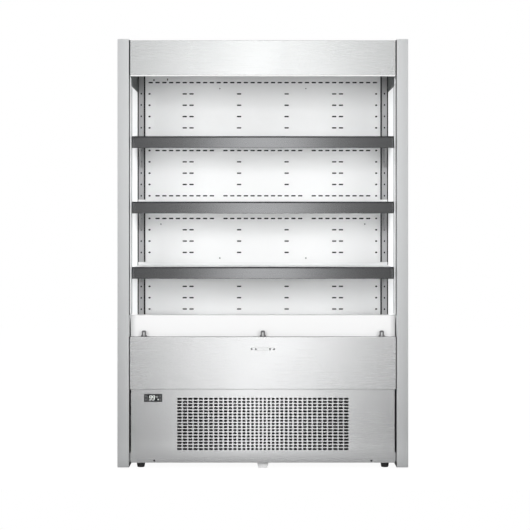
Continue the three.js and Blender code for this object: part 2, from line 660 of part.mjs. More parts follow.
// ---- Deck, evaporator fans and coil
function deck() {
  const pan = [[-INNER + DECK_SIDE_GAP, INNER - DECK_SIDE_GAP], [DECK_FRONT, UPRIGHT_FACE - SHEET]];
  const top = DECK_LEVEL + SEAT + DECK_PAN_HEIGHT;
  const shell = box(...pan, [DECK_LEVEL + SEAT, top]);
  const inset = pan.map(([low, high]) => [low + SHEET, high - SHEET]);
  return part('deck_pan', cut(shell, box(...inset, [DECK_LEVEL - 1, top - SHEET])), whitePaint);
}

function axialRotor(hubRadius, tipRadius, chord, hubDepth) {
  const blade = outline([
    [hubRadius - 4, -chord * 0.26], [tipRadius * 0.6, -chord * 0.42], [tipRadius * 0.97, -chord * 0.4],
    [tipRadius * 0.94, chord * 0.34], [tipRadius * 0.6, chord * 0.36], [hubRadius - 4, chord * 0.2],
  ]);
  const blades = Array.from({ length: BLADES }, (_, i) => extruded(blade, SHEET)
    .rotateX(THREE.MathUtils.degToRad(BLADE_TILT)).rotateZ((2 * Math.PI * i) / BLADES));
  const hub = cylinder(hubRadius, [-hubDepth / 2, hubDepth / 2], 14);
  return joined(hub, ...blades).applyMatrix4(BASIS_Y);
}

// Motor on three arms behind a sheet at plateY; its shaft ends just short of the rotor's hub.
function motorCage([x, plateY, z], motor, holeRadius, hubBack) {
  const motorY = plateY + motor.standoff;
  const armReach = holeRadius + motor.armMargin;
  const place = (geometry) => geometry.applyMatrix4(BASIS_Y).translate(x, motorY, z);
  const body = place(cylinder(motor.radius, [-motor.length, 0], 16));
  const shaft = place(cylinder(SHAFT_RADIUS, [-2, motorY - hubBack - SEAT], 8));
  const arms = [90, 210, 330].flatMap((degrees) => {
    const turn = -THREE.MathUtils.degToRad(degrees);
    const width = span(ARM_WIDTH / 2);
    const arm = box([motor.radius - 3, armReach], [motorY, motorY + ARM_THICKNESS], width);
    const leg = box([armReach - ARM_THICKNESS, armReach], [plateY, motorY + ARM_THICKNESS], width);
    return [arm, leg].map((piece) => piece.rotateY(turn).translate(x, 0, z));
  });
  return [body, shaft, ...arms];
}

function evaporator() {
  const fanZ = (WELL_FLOOR + DECK_LEVEL) / 2;
  const fanPlaces = SIDES.map(([side, word]) => [side * EVAP_FAN_SPACING, word]);
  const holes = fanPlaces.map(([x]) => circle(x, fanZ, EVAP_FAN_TIP + FAN_RUNNING_GAP, 24));
  const web = alongY(rectangle(span(INSIDE), [WELL_FLOOR + SEAT, DECK_LEVEL]),
    [FAN_DECK_Y, FAN_DECK_Y + SHEET], holes);
  const flange = box(span(INSIDE), [FAN_DECK_Y, FAN_DECK_Y + DECK_FLANGE], [DECK_LEVEL - SHEET, DECK_LEVEL]);
  const rotorY = FAN_DECK_Y + EVAP_ROTOR_SETBACK;
  const cages = fanPlaces.flatMap(([x]) => motorCage([x, FAN_DECK_Y + SHEET / 2, fanZ], EVAP_MOTOR,
    EVAP_FAN_TIP + FAN_RUNNING_GAP, rotorY + EVAP_HUB_DEPTH / 2));
  const rotor = axialRotor(EVAP_FAN_HUB, EVAP_FAN_TIP, EVAP_BLADE_CHORD, EVAP_HUB_DEPTH);
  const coilFront = FAN_DECK_Y + SHEET + EVAP_SETBACK;
  const coilHeights = [WELL_FLOOR + SEAT, WELL_FLOOR + SEAT + EVAP_HEIGHT];
  const coil = comb(span(EVAP_LENGTH / 2), EVAP_FINS, coilHeights, EVAP_PLATE);
  return group(
    part('fan_deck', joined(web, flange, ...cages), galvanised),
    fanPlaces.map(([x, word]) =>
      part(`evaporator_fan_${word}`, rotor.clone(), blackPlastic, [x, rotorY, fanZ])),
    part('evaporator_coil', alongY(coil, [coilFront, coilFront + EVAP_DEPTH]), aluminium),
  );
}

// Finned block seen along its fins: a plate on the first side with fins standing on it.
function comb([a0, a1], count, [b0, b1], plate) {
  const pitch = (a1 - a0) / (count - 1 + FIN_SHARE);
  const fins = Array.from({ length: count }, (_, i) => {
    const start = a1 - i * pitch;
    const end = start - pitch * FIN_SHARE;
    return [[start, b0 + plate], [start, b1], [end, b1], [end, b0 + plate]];
  }).flat();
  return [[a0, b0], [a1, b0], ...fins.slice(1, -1)];
}

// ---- Slotted back wall, uprights and shelves
function wallSlots() {
  const slots = [];
  for (const row of WALL_FULL_ROWS) {
    const z = CEILING - WALL_TOP_ROW - row * WALL_ROW_PITCH;
    for (let i = 0; i < WALL_SLOTS_PER_SIDE; i += 1) {
      if (row > 0 && i === WALL_RIB_SLOT) continue;
      const x = WALL_SLOT_PITCH * (i + 0.5);
      for (const side of [-1, 1]) {
        slots.push(rectangle([side * x - WALL_SLOT_WIDTH / 2, side * x + WALL_SLOT_WIDTH / 2],
          [z - WALL_SLOT_HEIGHT / 2, z + WALL_SLOT_HEIGHT / 2]));
      }
    }
  }
  return slots;
}

function backWall() {
  const heights = [DUCT_PANEL_BOTTOM, CEILING - SEAT];
  const sheet = alongY(rectangle(span(INSIDE), heights), [WALL_FACE, WALL_FACE + DUCT_SHEET], wallSlots());
  const rail = box(span(UPRIGHT_X - UPRIGHT_WIDTH / 2 - SHEET), [WALL_FACE - DECK_REAR_RAIL, WALL_FACE + 1],
    [DECK_LEVEL - SHEET, DECK_LEVEL]);
  return part('back_wall', joined(sheet, rail), whitePaint);
}

function upright(side, word) {
  const heights = [DUCT_PANEL_BOTTOM, CEILING - SEAT];
  const half = UPRIGHT_WIDTH / 2;
  const slots = Array.from({ length: SLOT_COUNT }, (_, i) => {
    const z = DECK_LEVEL + SLOT_START + i * SLOT_PITCH;
    return rectangle(span(SLOT_WIDTH / 2), [z - SLOT_HEIGHT / 2, z + SLOT_HEIGHT / 2]);
  });
  const face = alongY(rectangle(span(half), heights), [UPRIGHT_FACE, UPRIGHT_FACE + SHEET], slots);
  const depth = [UPRIGHT_FACE, WALL_FACE - SEAT];
  const flanges = [box([-half, -half + SHEET], depth, heights), box([half - SHEET, half], depth, heights)];
  return part(`upright_${word}`, joined(face, ...flanges), galvanised, [side * UPRIGHT_X, 0, 0]);
}

// Tapered cantilever plate; two hooks pass through the upright's slots and drop behind its face.
function shelfBracket(name, side, shelfTop) {
  const top = shelfTop - SHEET - SEAT;
  const rear = UPRIGHT_FACE - SEAT;
  const front = SHELF_FRONT + BRACKET_FRONT_GAP;
  const hooks = [0, 1].flatMap((i) => {
    const neckTop = shelfTop - HOOK_DROP - i * SLOT_PITCH + HOOK_NECK / 2 - 2;
    const tip = UPRIGHT_FACE + SHEET + HOOK_REACH;
    const barb = UPRIGHT_FACE + SHEET + SEAT;
    return [[rear, neckTop], [tip, neckTop], [tip, neckTop - HOOK_NECK - HOOK_BARB],
      [barb, neckTop - HOOK_NECK - HOOK_BARB], [barb, neckTop - HOOK_NECK], [rear, neckTop - HOOK_NECK]];
  });
  const shape = [
    [front, top - BRACKET_FRONT_HEIGHT], [front, top], [rear, top], ...hooks,
    [rear, top - BRACKET_REAR_HEIGHT],
    [rear - BRACKET_HEEL, top - BRACKET_REAR_HEIGHT],
  ];
  const geometry = alongX(shape, span(BRACKET_THICKNESS / 2));
  return part(name, geometry, whitePaint, [side * UPRIGHT_X, 0, 0]);
}

function shelf(level, word) {
  const top = SHELF_LOWEST_TOP + level * SLOTS_PER_SHELF * SLOT_PITCH;
  const front = SHELF_FRONT + STRIP_THICKNESS + SEAT;
  const trayPath = [
    [SHELF_REAR, top + SHELF_UPSTAND], [SHELF_REAR, top], [front, top], [front, top - SHELF_LIP],
  ];
  const stripTop = top - STRIP_DROP;
  const stripPath = [
    [SHELF_FRONT, stripTop], [SHELF_FRONT, stripTop - STRIP_HEIGHT],
    [SHELF_FRONT + STRIP_FOOT, stripTop - STRIP_HEIGHT],
  ];
  return [
    part(`shelf_tray_${word}`, alongX(folded(trayPath), span(SHELF_HALF)), whitePaint),
    part(`price_strip_${word}`, alongX(folded(stripPath, STRIP_THICKNESS), span(SHELF_HALF)), darkSteel),
    ...SIDES.map(([side, hand]) => shelfBracket(`shelf_bracket_${word}_${hand}`, side, top)),
  ];
}

// ---- Canopy: fascia, ceiling, honeycomb air outlet and the night blind behind the fascia
function canopy() {
  const fasciaPath = [
    [FACE + CANOPY_RETURN, CANOPY_TOP], [FACE, CANOPY_TOP], [FACE, CANOPY_BOTTOM],
    [FACE + CANOPY_HEM, CANOPY_BOTTOM], [FACE + CANOPY_HEM, CANOPY_BOTTOM + CANOPY_HEM],
  ];
  const ceilingPath = [
    [WALL_FACE + DUCT_SHEET, CEILING + SHEET], [OUTLET_BACK, CEILING + SHEET], [OUTLET_BACK, OUTLET_BOTTOM],
    [OUTLET_BACK - OUTLET_LIP, OUTLET_BOTTOM],
  ];
  return group(
    part('canopy_front', alongX(folded(fasciaPath), span(FACE_HALF)), brushedSteel),
    part('canopy_ceiling', alongX(folded(ceilingPath), span(INSIDE)), whitePaint),
    part('air_outlet', airOutlet(), greyPlastic),
    part('blind_cassette', blindCassette(), galvanised),
    part('blind_roller', blindRoller(), aluminium, [0, ROLLER_Y, ROLLER_Z]),
    part('blind_cloth', box(span(INNER - CLOTH_INSET), about(BLIND_Y, CLOTH_THICKNESS),
      [BAR_BOTTOM + BAR_HEIGHT + SEAT, ROLLER_Z]), cloth),
    part('blind_bar', blindBar(), aluminium, [0, BLIND_Y, BAR_BOTTOM]),
  );
}

function airOutlet() {
  const half = INSIDE - OUTLET_SIDE_GAP;
  const pitch = (2 * half) / OUTLET_CELLS;
  const depth = [OUTLET_FRONT + SEAT, OUTLET_BACK - SEAT];
  const cells = Array.from({ length: OUTLET_CELLS }, (_, i) => {
    const centre = -half + pitch * (i + 0.5);
    return rectangle(about(centre, pitch * OUTLET_OPEN), [depth[0] + OUTLET_RIM, depth[1] - OUTLET_RIM]);
  });
  const heights = [OUTLET_BOTTOM + SEAT, OUTLET_BOTTOM + SEAT + OUTLET_HEIGHT];
  return alongZ(rectangle(span(half), depth), heights, cells);
}

// Front wall of the canopy duct: it carries the outlet on its lip and the roller in its two ears.
function blindCassette() {
  const nosePath = [
    [OUTLET_FRONT + OUTLET_LIP, OUTLET_BOTTOM], [OUTLET_FRONT, OUTLET_BOTTOM],
    [OUTLET_FRONT, TOP_UNDERSIDE - SEAT],
  ];
  const nose = alongX(folded(nosePath), span(INSIDE));
  const ears = SIDES.map(([side]) => {
    const width = [side * EAR_X, side * (EAR_X - EAR_THICKNESS)].sort((a, b) => a - b);
    const reach = ROLLER_RADIUS + EAR_MARGIN;
    return box(width, [ROLLER_Y - reach, OUTLET_FRONT - 1], [ROLLER_Z - reach, TOP_UNDERSIDE - SEAT]);
  });
  const bore = cylinder(ROLLER_PIN + PIN_CLEARANCE, span(INSIDE + 1), 16).rotateY(Math.PI / 2)
    .translate(0, ROLLER_Y, ROLLER_Z);
  return cut(joined(nose, ...ears), bore);
}

function blindRoller() {
  const body = EAR_X - EAR_THICKNESS - SEAT;
  const profile = [
    [0, -EAR_X], [ROLLER_PIN, -EAR_X], [ROLLER_PIN, -body], [ROLLER_RADIUS, -body],
    [ROLLER_RADIUS, body], [ROLLER_PIN, body], [ROLLER_PIN, EAR_X], [0, EAR_X],
  ];
  return turned(profile, 12).rotateY(Math.PI / 2);
}

// Pull bar: a hollow-bottomed section whose groove drops over the catches.
function blindBar() {
  const half = BAR_DEPTH / 2;
  const groove = half - BAR_WALL;
  const section = [
    [-half, 0], [-groove, 0], [-groove, BAR_GROOVE], [groove, BAR_GROOVE], [groove, 0], [half, 0],
    [half, BAR_HEIGHT - 4], [half - 3, BAR_HEIGHT], [3 - half, BAR_HEIGHT], [-half, BAR_HEIGHT - 4],
  ];
  return alongX(section, span(INNER - BAR_INSET));
}

// ---- Condensing unit on the machine tray
function condensingUnit() {
  const floor = MACHINE_FLOOR + SEAT;
  const fins = comb(CONDENSER_X, CONDENSER_FINS, [-CONDENSER_REAR, -CONDENSER_FRONT], CONDENSER_PLATE)
    .map(([x, y]) => [x, -y]);
  const fanX = CONDENSER_OFFSET;
  const fanZ = (floor + CONDENSER_TOP) / 2;
  const rotorY = SHROUD_REAR + ROTOR_SETBACK;
  const plate = alongY(rectangle(CONDENSER_X, [floor, CONDENSER_TOP]), [SHROUD_REAR - SHEET, SHROUD_REAR],
    [circle(fanX, fanZ, FAN_TIP + FAN_RUNNING_GAP, 28)]);
  const hollow = rectangle(about(CONDENSER_OFFSET, CONDENSER_LENGTH - 2 * SHEET),
    [floor + SHEET, CONDENSER_TOP - SHEET]);
  const duct = alongY(rectangle(CONDENSER_X, [floor, CONDENSER_TOP]),
    [CONDENSER_REAR + SEAT, SHROUD_REAR], [hollow]);
  const cage = motorCage([fanX, SHROUD_REAR - SHEET / 2, fanZ], FAN_MOTOR, FAN_TIP + FAN_RUNNING_GAP,
    rotorY + HUB_DEPTH / 2);
  return group(
    part('condenser_coil', alongZ(fins, [floor, CONDENSER_TOP]), aluminium),
    part('fan_shroud', joined(plate, duct, ...cage), blackPaint),
    part('condenser_fan', axialRotor(FAN_HUB, FAN_TIP, BLADE_CHORD, HUB_DEPTH), blackPlastic,
      [fanX, rotorY, fanZ]),
    part('compressor', compressor(floor), blackPaint),
    part('evaporation_tray', evaporationTray(floor), blackPlastic),
    part('electrical_box', box(BOX_X, BOX_Y, [floor, floor + ELECTRICAL_BOX_HEIGHT]), greySteel),
    part('rear_louvre_panel', rearPanel(floor), greySteel),
    part('cable_gland', cableGland(), blackPlastic, [GLAND_INSET - INNER, REAR_PANEL_BACK + SEAT, GLAND_Z]),
  );
}

// Hermetic shell on its mounting plate, with the discharge pipe to the condenser and the suction pipe
// from the well.
function compressor(floor) {
  const [r, h] = [COMPRESSOR_RADIUS, COMPRESSOR_HEIGHT];
  const lift = floor + COMPRESSOR_LIFT;
  const port = CONDENSER_X[1] + SEAT;
  const portY = CONDENSER_FRONT + CONDENSER_DEPTH / 2;
  const portZ = CONDENSER_TOP - PORT_DROP;
  const shell = turned([
    [0, 0], [r * 0.6, h * 0.03], [r * 0.92, h * 0.12], [r, h * 0.25], [r, h * 0.48], [r + 4, h * 0.48],
    [r + 4, h * 0.53], [r, h * 0.53], [r, h * 0.7], [r * 0.88, h * 0.87], [r * 0.6, h * 0.96], [0, h],
  ], 16).translate(COMPRESSOR_X, COMPRESSOR_Y, lift);
  const plateTop = lift + 4;
  const plate = box(about(COMPRESSOR_X, MOUNT_LENGTH), about(COMPRESSOR_Y, MOUNT_WIDTH),
    [plateTop - MOUNT_PLATE, plateTop]);
  const mountX = MOUNT_LENGTH / 2 - MOUNT_MARGIN;
  const mountY = MOUNT_WIDTH / 2 - MOUNT_MARGIN;
  const mounts = [-1, 1].flatMap((u) => [-1, 1].map((v) => cylinder(MOUNT_RADIUS, [floor, plateTop - 1], 10)
    .translate(COMPRESSOR_X + u * mountX, COMPRESSOR_Y + v * mountY, 0)));
  const dischargeX = COMPRESSOR_X - r - DISCHARGE_GAP;
  const bendX = port + COMPRESSOR_GAP - 8;
  const discharge = tube([
    [COMPRESSOR_X - r + 8, COMPRESSOR_Y, lift + h * 0.62], [dischargeX, COMPRESSOR_Y, lift + h * 0.62],
    [bendX - 6, (COMPRESSOR_Y + portY) / 2 + 56, portZ - 10], [bendX, portY, portZ], [port, portY, portZ],
  ], PIPE_RADIUS, 18);
  const suctionX = COMPRESSOR_X + r + SUCTION_GAP;
  const suction = tube([
    [COMPRESSOR_X + r - 8, COMPRESSOR_Y, lift + h * 0.35], [suctionX - 6, COMPRESSOR_Y, lift + h * 0.37],
    [suctionX, COMPRESSOR_Y, lift + h * 0.6], [suctionX, COMPRESSOR_Y, WELL_BOTTOM - SEAT],
  ], PIPE_RADIUS + 2, 14);
  return joined(shell, plate, ...mounts, discharge, suction);
}

function evaporationTray(floor) {
  const heights = [floor, floor + EVAPORATION_TRAY_HEIGHT];
  const inside = [TRAY_X, TRAY_Y].map(([low, high]) => [low + TRAY_WALL, high - TRAY_WALL]);
  return cut(box(TRAY_X, TRAY_Y, heights), box(...inside, [floor + TRAY_WALL, heights[1] + 1]));
}

function rearPanel(floor) {
  const heights = [floor, WELL_BOTTOM - SEAT];
  const louvres = SIDES.flatMap(([side]) => Array.from({ length: LOUVRE_ROWS }, (_, i) => {
    const z = heights[1] - LOUVRE_TOP_MARGIN - i * LOUVRE_PITCH;
    return rectangle(about(side * LOUVRE_SPACING, LOUVRE_LENGTH), about(z, LOUVRE_HEIGHT));
  }));
  return alongY(rectangle(span(INSIDE), heights), [REAR_PANEL_BACK - SHEET, REAR_PANEL_BACK], louvres);
}

function cableGland() {
  const [r, bore, length] = [GLAND_RADIUS, GLAND_BORE, GLAND_LENGTH];
  const profile = [
    [bore, 0], [r, 0], [r, length * 0.3], [r * 0.7, length * 0.4], [r * 0.7, length * 0.75],
    [r * 0.45, length], [bore, length], [bore, 0],
  ];
  return turned(profile, 12).rotateX(-Math.PI / 2);
}

const fridge = new THREE.Group();
fridge.name = 'open_multideck_fridge';
fridge.add(
  carcase(), feet(), part('grille_panel', grillePanel(), brushedSteel), controls(), frontOfWell(), deck(),
  evaporator(), backWall(), ...SIDES.map(([side, word]) => upright(side, word)),
  ...SHELF_LEVELS.flatMap((word, level) => shelf(level, word)), canopy(), condensingUnit(),
);

export default fridge;
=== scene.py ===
"""Open multideck display fridge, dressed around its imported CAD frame.

Every piece is in metres in the CAD frame: the front faces -Y, +X is right and the floor is z = 0.
"""

import logging
import math
from collections.abc import Iterable, Sequence
from dataclasses import dataclass, field
from enum import Enum

import bmesh
import bpy
from mathutils import Matrix, Vector


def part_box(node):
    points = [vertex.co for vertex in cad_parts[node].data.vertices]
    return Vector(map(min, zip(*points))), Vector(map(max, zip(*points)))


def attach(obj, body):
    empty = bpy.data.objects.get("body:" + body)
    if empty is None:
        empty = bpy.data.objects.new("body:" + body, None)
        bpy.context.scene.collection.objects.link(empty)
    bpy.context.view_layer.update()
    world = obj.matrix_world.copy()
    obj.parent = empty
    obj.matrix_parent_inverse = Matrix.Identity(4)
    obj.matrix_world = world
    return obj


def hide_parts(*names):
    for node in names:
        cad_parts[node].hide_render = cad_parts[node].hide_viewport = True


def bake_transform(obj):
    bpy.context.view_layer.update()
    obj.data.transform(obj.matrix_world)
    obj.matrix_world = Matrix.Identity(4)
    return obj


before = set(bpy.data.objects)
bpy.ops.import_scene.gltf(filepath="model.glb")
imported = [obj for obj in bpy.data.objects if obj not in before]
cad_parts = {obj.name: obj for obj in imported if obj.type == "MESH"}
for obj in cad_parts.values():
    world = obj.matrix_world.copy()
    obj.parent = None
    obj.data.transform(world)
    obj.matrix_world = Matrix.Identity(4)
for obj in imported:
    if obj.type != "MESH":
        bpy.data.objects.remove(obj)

LOG = logging.getLogger("display_fridge")

Point = tuple[float, float]
Place = tuple[float, float, float]
Span = tuple[float, float]
Size = tuple[float, float]
Colour = tuple[float, float, float]
SIDES = ((-1, "left"), (1, "right"))
KEYS = tuple(f"key_{row}_{word}" for row in ("upper", "lower") for _, word in SIDES)
FULL_TURN = 2 * math.pi
LINER_FACE = 0.5518  # metres from the middle to a side liner's inner face
OVERLAP = 0.0002  # metres that touching parts reach into each other
CREASE = 0.6  # radians over which an edge stays sharp
RIM_ANGLE = 1.2  # radians over which a plate's edge counts as its rim
SQUARE, COARSE, ROUND = 4, 8, 12  # sides of a square hole, a small round one and a large round one
SCREW_RISE = 0.55  # a screw head's height as a share of its radius
NO_LENGTH = 1e-6  # metres under which two points count as one
GRAIN_DEPTH = 0.000006  # metres, of the grain that is brushed into steel
BAND_SCALE = 0.314  # a wave texture's scale for one band in each metre


class Axis(Enum):
    """An axis of the CAD frame, and the plane across it that outlines are drawn on."""

    X = ((0, 0, 1), (1, 0, 0), (0, 1, 0))
    Y = ((1, 0, 0), (0, 0, 1), (0, 1, 0))
    Z = ((1, 0, 0), (0, 1, 0), (0, 0, 1))

    @property
    def matrix(self) -> Matrix:
        """Turns an outline's (u, v) and its height along the axis into the CAD frame."""
        return Matrix(self.value).to_4x4()

    @property
    def along(self) -> Vector:
        """The direction of the axis."""
        return self.matrix @ Vector((0, 0, 1))


def about(middle: float, size: float) -> Span:
    """The span of a size about its middle."""
    return (middle - size / 2, middle + size / 2)


def span(half: float) -> Span:
    """The span from minus half to half."""
    return (-half, half)


def centre_of(whole: Span) -> float:
    """The middle of a span."""
    return sum(whole) / 2


def on_side(side: int, near: float, far: float) -> Span:
    """The span between two distances from the middle, to the left (-1) or to the right (1)."""
    return tuple(sorted((side * near, side * far)))


def ends(whole: Span, wall: float) -> tuple[Span, Span]:
    """The two walls that stand inside the ends of a span."""
    return ((whole[0], whole[0] + wall), (whole[1] - wall, whole[1]))


def spread(whole: Span, margin: float, count: int) -> list[float]:
    """Evenly spaced places along a span, with a margin at both ends."""
    return [whole[0] + margin + i * (whole[1] - whole[0] - 2 * margin) / (count - 1) for i in range(count)]


def extent(node: str) -> tuple[Span, Span, Span]:
    """The three spans that a CAD node fills at rest."""
    low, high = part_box(node)
    return tuple((low[i], high[i]) for i in range(3))


class Value:
    """A number socket, with arithmetic that adds its Math nodes."""

    def __init__(self, graph: "Graph", socket: bpy.types.NodeSocket) -> None:
        """Wraps a socket.

        Args:
            graph: The material's graph.
            socket: The output socket.
        """
        self.graph = graph
        self.socket = socket

    def _joined(self, operation: str, left: object, right: object) -> "Value":
        """A Math node's result.

        Args:
            operation: The Math node's operation.
            left: First number or value.
            right: Second number or value.

        Returns:
            The result as a value.
        """
        node = self.graph.node("ShaderNodeMath", {"operation": operation}, {0: left, 1: right})
        return Value(self.graph, node.outputs[0])

    def __add__(self, other: object) -> "Value":
        """self + other."""
        return self._joined("ADD", self, other)

    __radd__ = __add__

    def __sub__(self, other: object) -> "Value":
        """self - other."""
        return self._joined("SUBTRACT", self, other)

    def __rsub__(self, other: object) -> "Value":
        """other - self."""
        return self._joined("SUBTRACT", other, self)

    def __mul__(self, other: object) -> "Value":
        """self * other."""
        return self._joined("MULTIPLY", self, other)

    __rmul__ = __mul__

    def __truediv__(self, other: object) -> "Value":
        """self / other."""
        return self._joined("DIVIDE", self, other)

    def __rtruediv__(self, other: object) -> "Value":
        """other / self."""
        return self._joined("DIVIDE", other, self)

    def __pow__(self, other: object) -> "Value":
        """self ** other."""
        return self._joined("POWER", self, other)

    def __gt__(self, other: object) -> "Value":
        """1 where self is over other, else 0."""
        return self._joined("GREATER_THAN", self, other)


class Graph:
    """The node graph of one material or of the world."""

    def __init__(self, tree: bpy.types.NodeTree) -> None:
        """Empties the tree.

        Args:
            tree: The node tree to build in.
        """
        self.tree = tree
        tree.nodes.clear()

    def node(self, kind: str, settings: dict | None = None, inputs: dict | None = None) -> bpy.types.Node:
        """Adds a node.

        Args:
            kind: The node's type.
            settings: Its settings, set first; "stops" are a ramp's (position, colour) pairs.
            inputs: A value, number, colour or socket for each input.

        Returns:
            The node.
        """
        node = self.tree.nodes.new(kind)
        for key, setting in (settings or {}).items():
            if key != "stops":
                setattr(node, key, setting)
                continue
            elements = node.color_ramp.elements
            while len(elements) < len(setting):
                elements.new(0.5)
            for element, (position, colour) in zip(elements, setting):
                element.position = position
                element.color = (*colour, 1)
        for key, given in (inputs or {}).items():
            self.feed(node.inputs[key], given)
        return node

    def feed(self, socket: bpy.types.NodeSocket, given: object) -> None:
        """Links or sets one input.

        Args:
            socket: The input socket.
            given: A Value, a socket, a number, a colour or a vector.
        """
        if isinstance(given, Value):
            given = given.socket
        if isinstance(given, bpy.types.NodeSocket):
            self.tree.links.new(given, socket)
        elif socket.type == "RGBA":
            socket.default_value = (*given, 1)
        else:
            socket.default_value = given

    def point(self, stretch: Place = (1, 1, 1)) -> bpy.types.NodeSocket:
        """The object's own coordinates, each multiplied by its stretch."""
        place = self.node("ShaderNodeTexCoord").outputs["Object"]
        return self.node("ShaderNodeMapping", None, {"Vector": place, "Scale": stretch}).outputs[0]

    def noise(self, stretch: Place, detail: float = 3.0, rough: float = 0.55) -> Value:
        """Noise from 0 to 1.

        Args:
            stretch: Waves per metre along each axis.
            detail: Number of octaves.
            rough: Strength of the finer octaves.

        Returns:
            The noise.
        """
        node = self.node("ShaderNodeTexNoise", {"noise_dimensions": "3D"}, {
            "Vector": self.point(stretch), "Scale": 1.0, "Detail": detail, "Roughness": rough})
        return Value(self, node.outputs["Fac"])

    def mix(self, low: object, high: object, share: object) -> bpy.types.NodeSocket:
        """A colour between two colours.

        Args:
            low: The colour at share 0.
            high: The colour at share 1.
            share: The share.

        Returns:
            The mixed colour's socket.
        """
        node = self.node("ShaderNodeMix", {"data_type": "RGBA"}, {0: share, 6: low, 7: high})
        return node.outputs[2]

    def bump(self, height: Value, distance: float, strength: float = 1.0) -> bpy.types.NodeSocket:
        """A normal that follows a height.

        Args:
            height: The height from 0 to 1.
            distance: What a height of 1 stands for, in metres.
            strength: The bump's strength.

        Returns:
            The normal's socket.
        """
        inputs = {"Strength": strength, "Distance": distance, "Height": height}
        return self.node("ShaderNodeBump", None, inputs).outputs[0]

    def ramp(self, given: object, start: Span, result: Span) -> Value:
        """A smooth step.

        Args:
            given: The value that it follows.
            start: The two values between which it steps.
            result: What it gives at those two.

        Returns:
            The step.
        """
        node = self.node("ShaderNodeMapRange", {"interpolation_type": "SMOOTHSTEP"}, {
            "Value": given, "From Min": start[0], "From Max": start[1],
            "To Min": result[0], "To Max": result[1]})
        return Value(self, node.outputs[0])

    def bands(self, direction: str, place: bpy.types.NodeSocket, pitch: float, waver: float = 0.0) -> Value:
        """Even bands from 0 to 1.

        Args:
            direction: The axis along which they follow each other.
            place: The coordinates.
            pitch: Metres from band to band.
            waver: How far they wander.

        Returns:
            The bands.
        """
        node = self.node("ShaderNodeTexWave", {"wave_type": "BANDS", "bands_direction": direction}, {
            "Vector": place, "Scale": BAND_SCALE / pitch, "Distortion": waver})
        return Value(self, node.outputs["Fac"])


class Surface(Graph):
    """The graph of one material with its Principled shader."""

    def __init__(self, name: str) -> None:
        """Makes the material.

        Args:
            name: The material's name.
        """
        self.material = bpy.data.materials.new(name)
        self.material.use_nodes = True
        super().__init__(self.material.node_tree)
        self.shader = self.node("ShaderNodeBsdfPrincipled")
        self.node("ShaderNodeOutputMaterial", None, {"Surface": self.shader.outputs[0]})

    def dress(self, **inputs: object) -> None:
        """Sets the shader's inputs.

        Args:
            inputs: What each input is given, with the spaces of their names written as underscores.
        """
        for key, given in inputs.items():
            name = key.replace("_", " ").title().replace("Ior", "IOR")
            self.feed(self.shader.inputs[name], given)


def shade(colour: Colour, share: float) -> Colour:
    """A colour made lighter or darker by a share."""
    return tuple(max(0.0, min(1.0, channel * share)) for channel in colour)


@dataclass(frozen=True)
class Finish:
    """A finish of the fridge; each kind paints its own graph."""

    name: str
    colour: Colour
    roughness: float = 0.5

    def material(self) -> bpy.types.Material:
        """The finish's material, made once.

        Returns:
            The material.
        """
        made = bpy.data.materials.get(self.name)
        if made is None:
            surface = Surface(self.name)
            self.paint(surface)
            made = surface.material
        return made

    def tones(self, surface: Surface, low: float, high: float, share: Value) -> bpy.types.NodeSocket:
        """A colour between two shades of the finish's colour."""
        return surface.mix(shade(self.colour, low), shade(self.colour, high), share)

    def paint(self, surface: Surface) -> None:
        """Paints the graph of this finish."""
        raise NotImplementedError


@dataclass(frozen=True)
class BrushedSteel(Finish):
    """Satin stainless steel with long fine grain."""

    grain: Axis = Axis.X
    streak: float = 0.03
    along: float = 9.0
    across: float = 2600.0
    broader: float = 9.0

    def paint(self, surface: Surface) -> None:
        """Paints grain lines, faint wipe marks and a slightly uneven polish.

        Args:
            surface: The graph to paint in.
        """
        fine = tuple(self.along if axis is self.grain else self.across for axis in Axis)
        broad = tuple(wave / self.broader for wave in fine)
        lines = surface.noise(fine, 4, 0.6)
        bands = surface.noise(broad, 2)
        wipes = surface.noise((3, 3, 3), 2)
        tone = lines * 0.75 + bands * 0.25
        surface.dress(
            base_color=self.tones(surface, 1 - 2 * self.streak, 1 + 2 * self.streak, tone),
            metallic=1.0, roughness=(lines - 0.5) * 0.06 + (wipes - 0.5) * 0.05 + self.roughness,
            normal=surface.bump(tone, GRAIN_DEPTH))


@dataclass(frozen=True)
class SkinSteel(Finish):
    """Satin foamed-panel skin: vertical grain under a thin clear film."""

    def paint(self, surface: Surface) -> None:
        """Paints upright grain lines under faint clouds.

        Args:
            surface: The graph to paint in.
        """
        lines = surface.noise((1800, 1800, 7), 4, 0.6)
        clouds = surface.noise((3, 3, 2), 2)
        surface.dress(
            base_color=self.tones(surface, 0.94, 1.05, lines * 0.7 + clouds * 0.3),
            metallic=0.9, roughness=(lines - 0.5) * 0.06 + (clouds - 0.5) * 0.04 + self.roughness,
            normal=surface.bump(lines, GRAIN_DEPTH))


@dataclass(frozen=True)
class PaintedSheet(Finish):
    """Powder-coated sheet with a fine orange peel."""

    peel: float = 0.00006

    def paint(self, surface: Surface) -> None:
        """Paints the coat, a touch dustier in broad patches.

        Args:
            surface: The graph to paint in.
        """
        peel = surface.noise((420, 420, 420), 2)
        dust = surface.noise((6, 6, 6), 3)
        surface.dress(
            base_color=self.tones(surface, 0.97, 1.0, dust), specular_ior_level=0.45,
            roughness=(dust - 0.5) * 0.12 + (peel - 0.5) * 0.06 + self.roughness,
            normal=surface.bump(peel, self.peel))


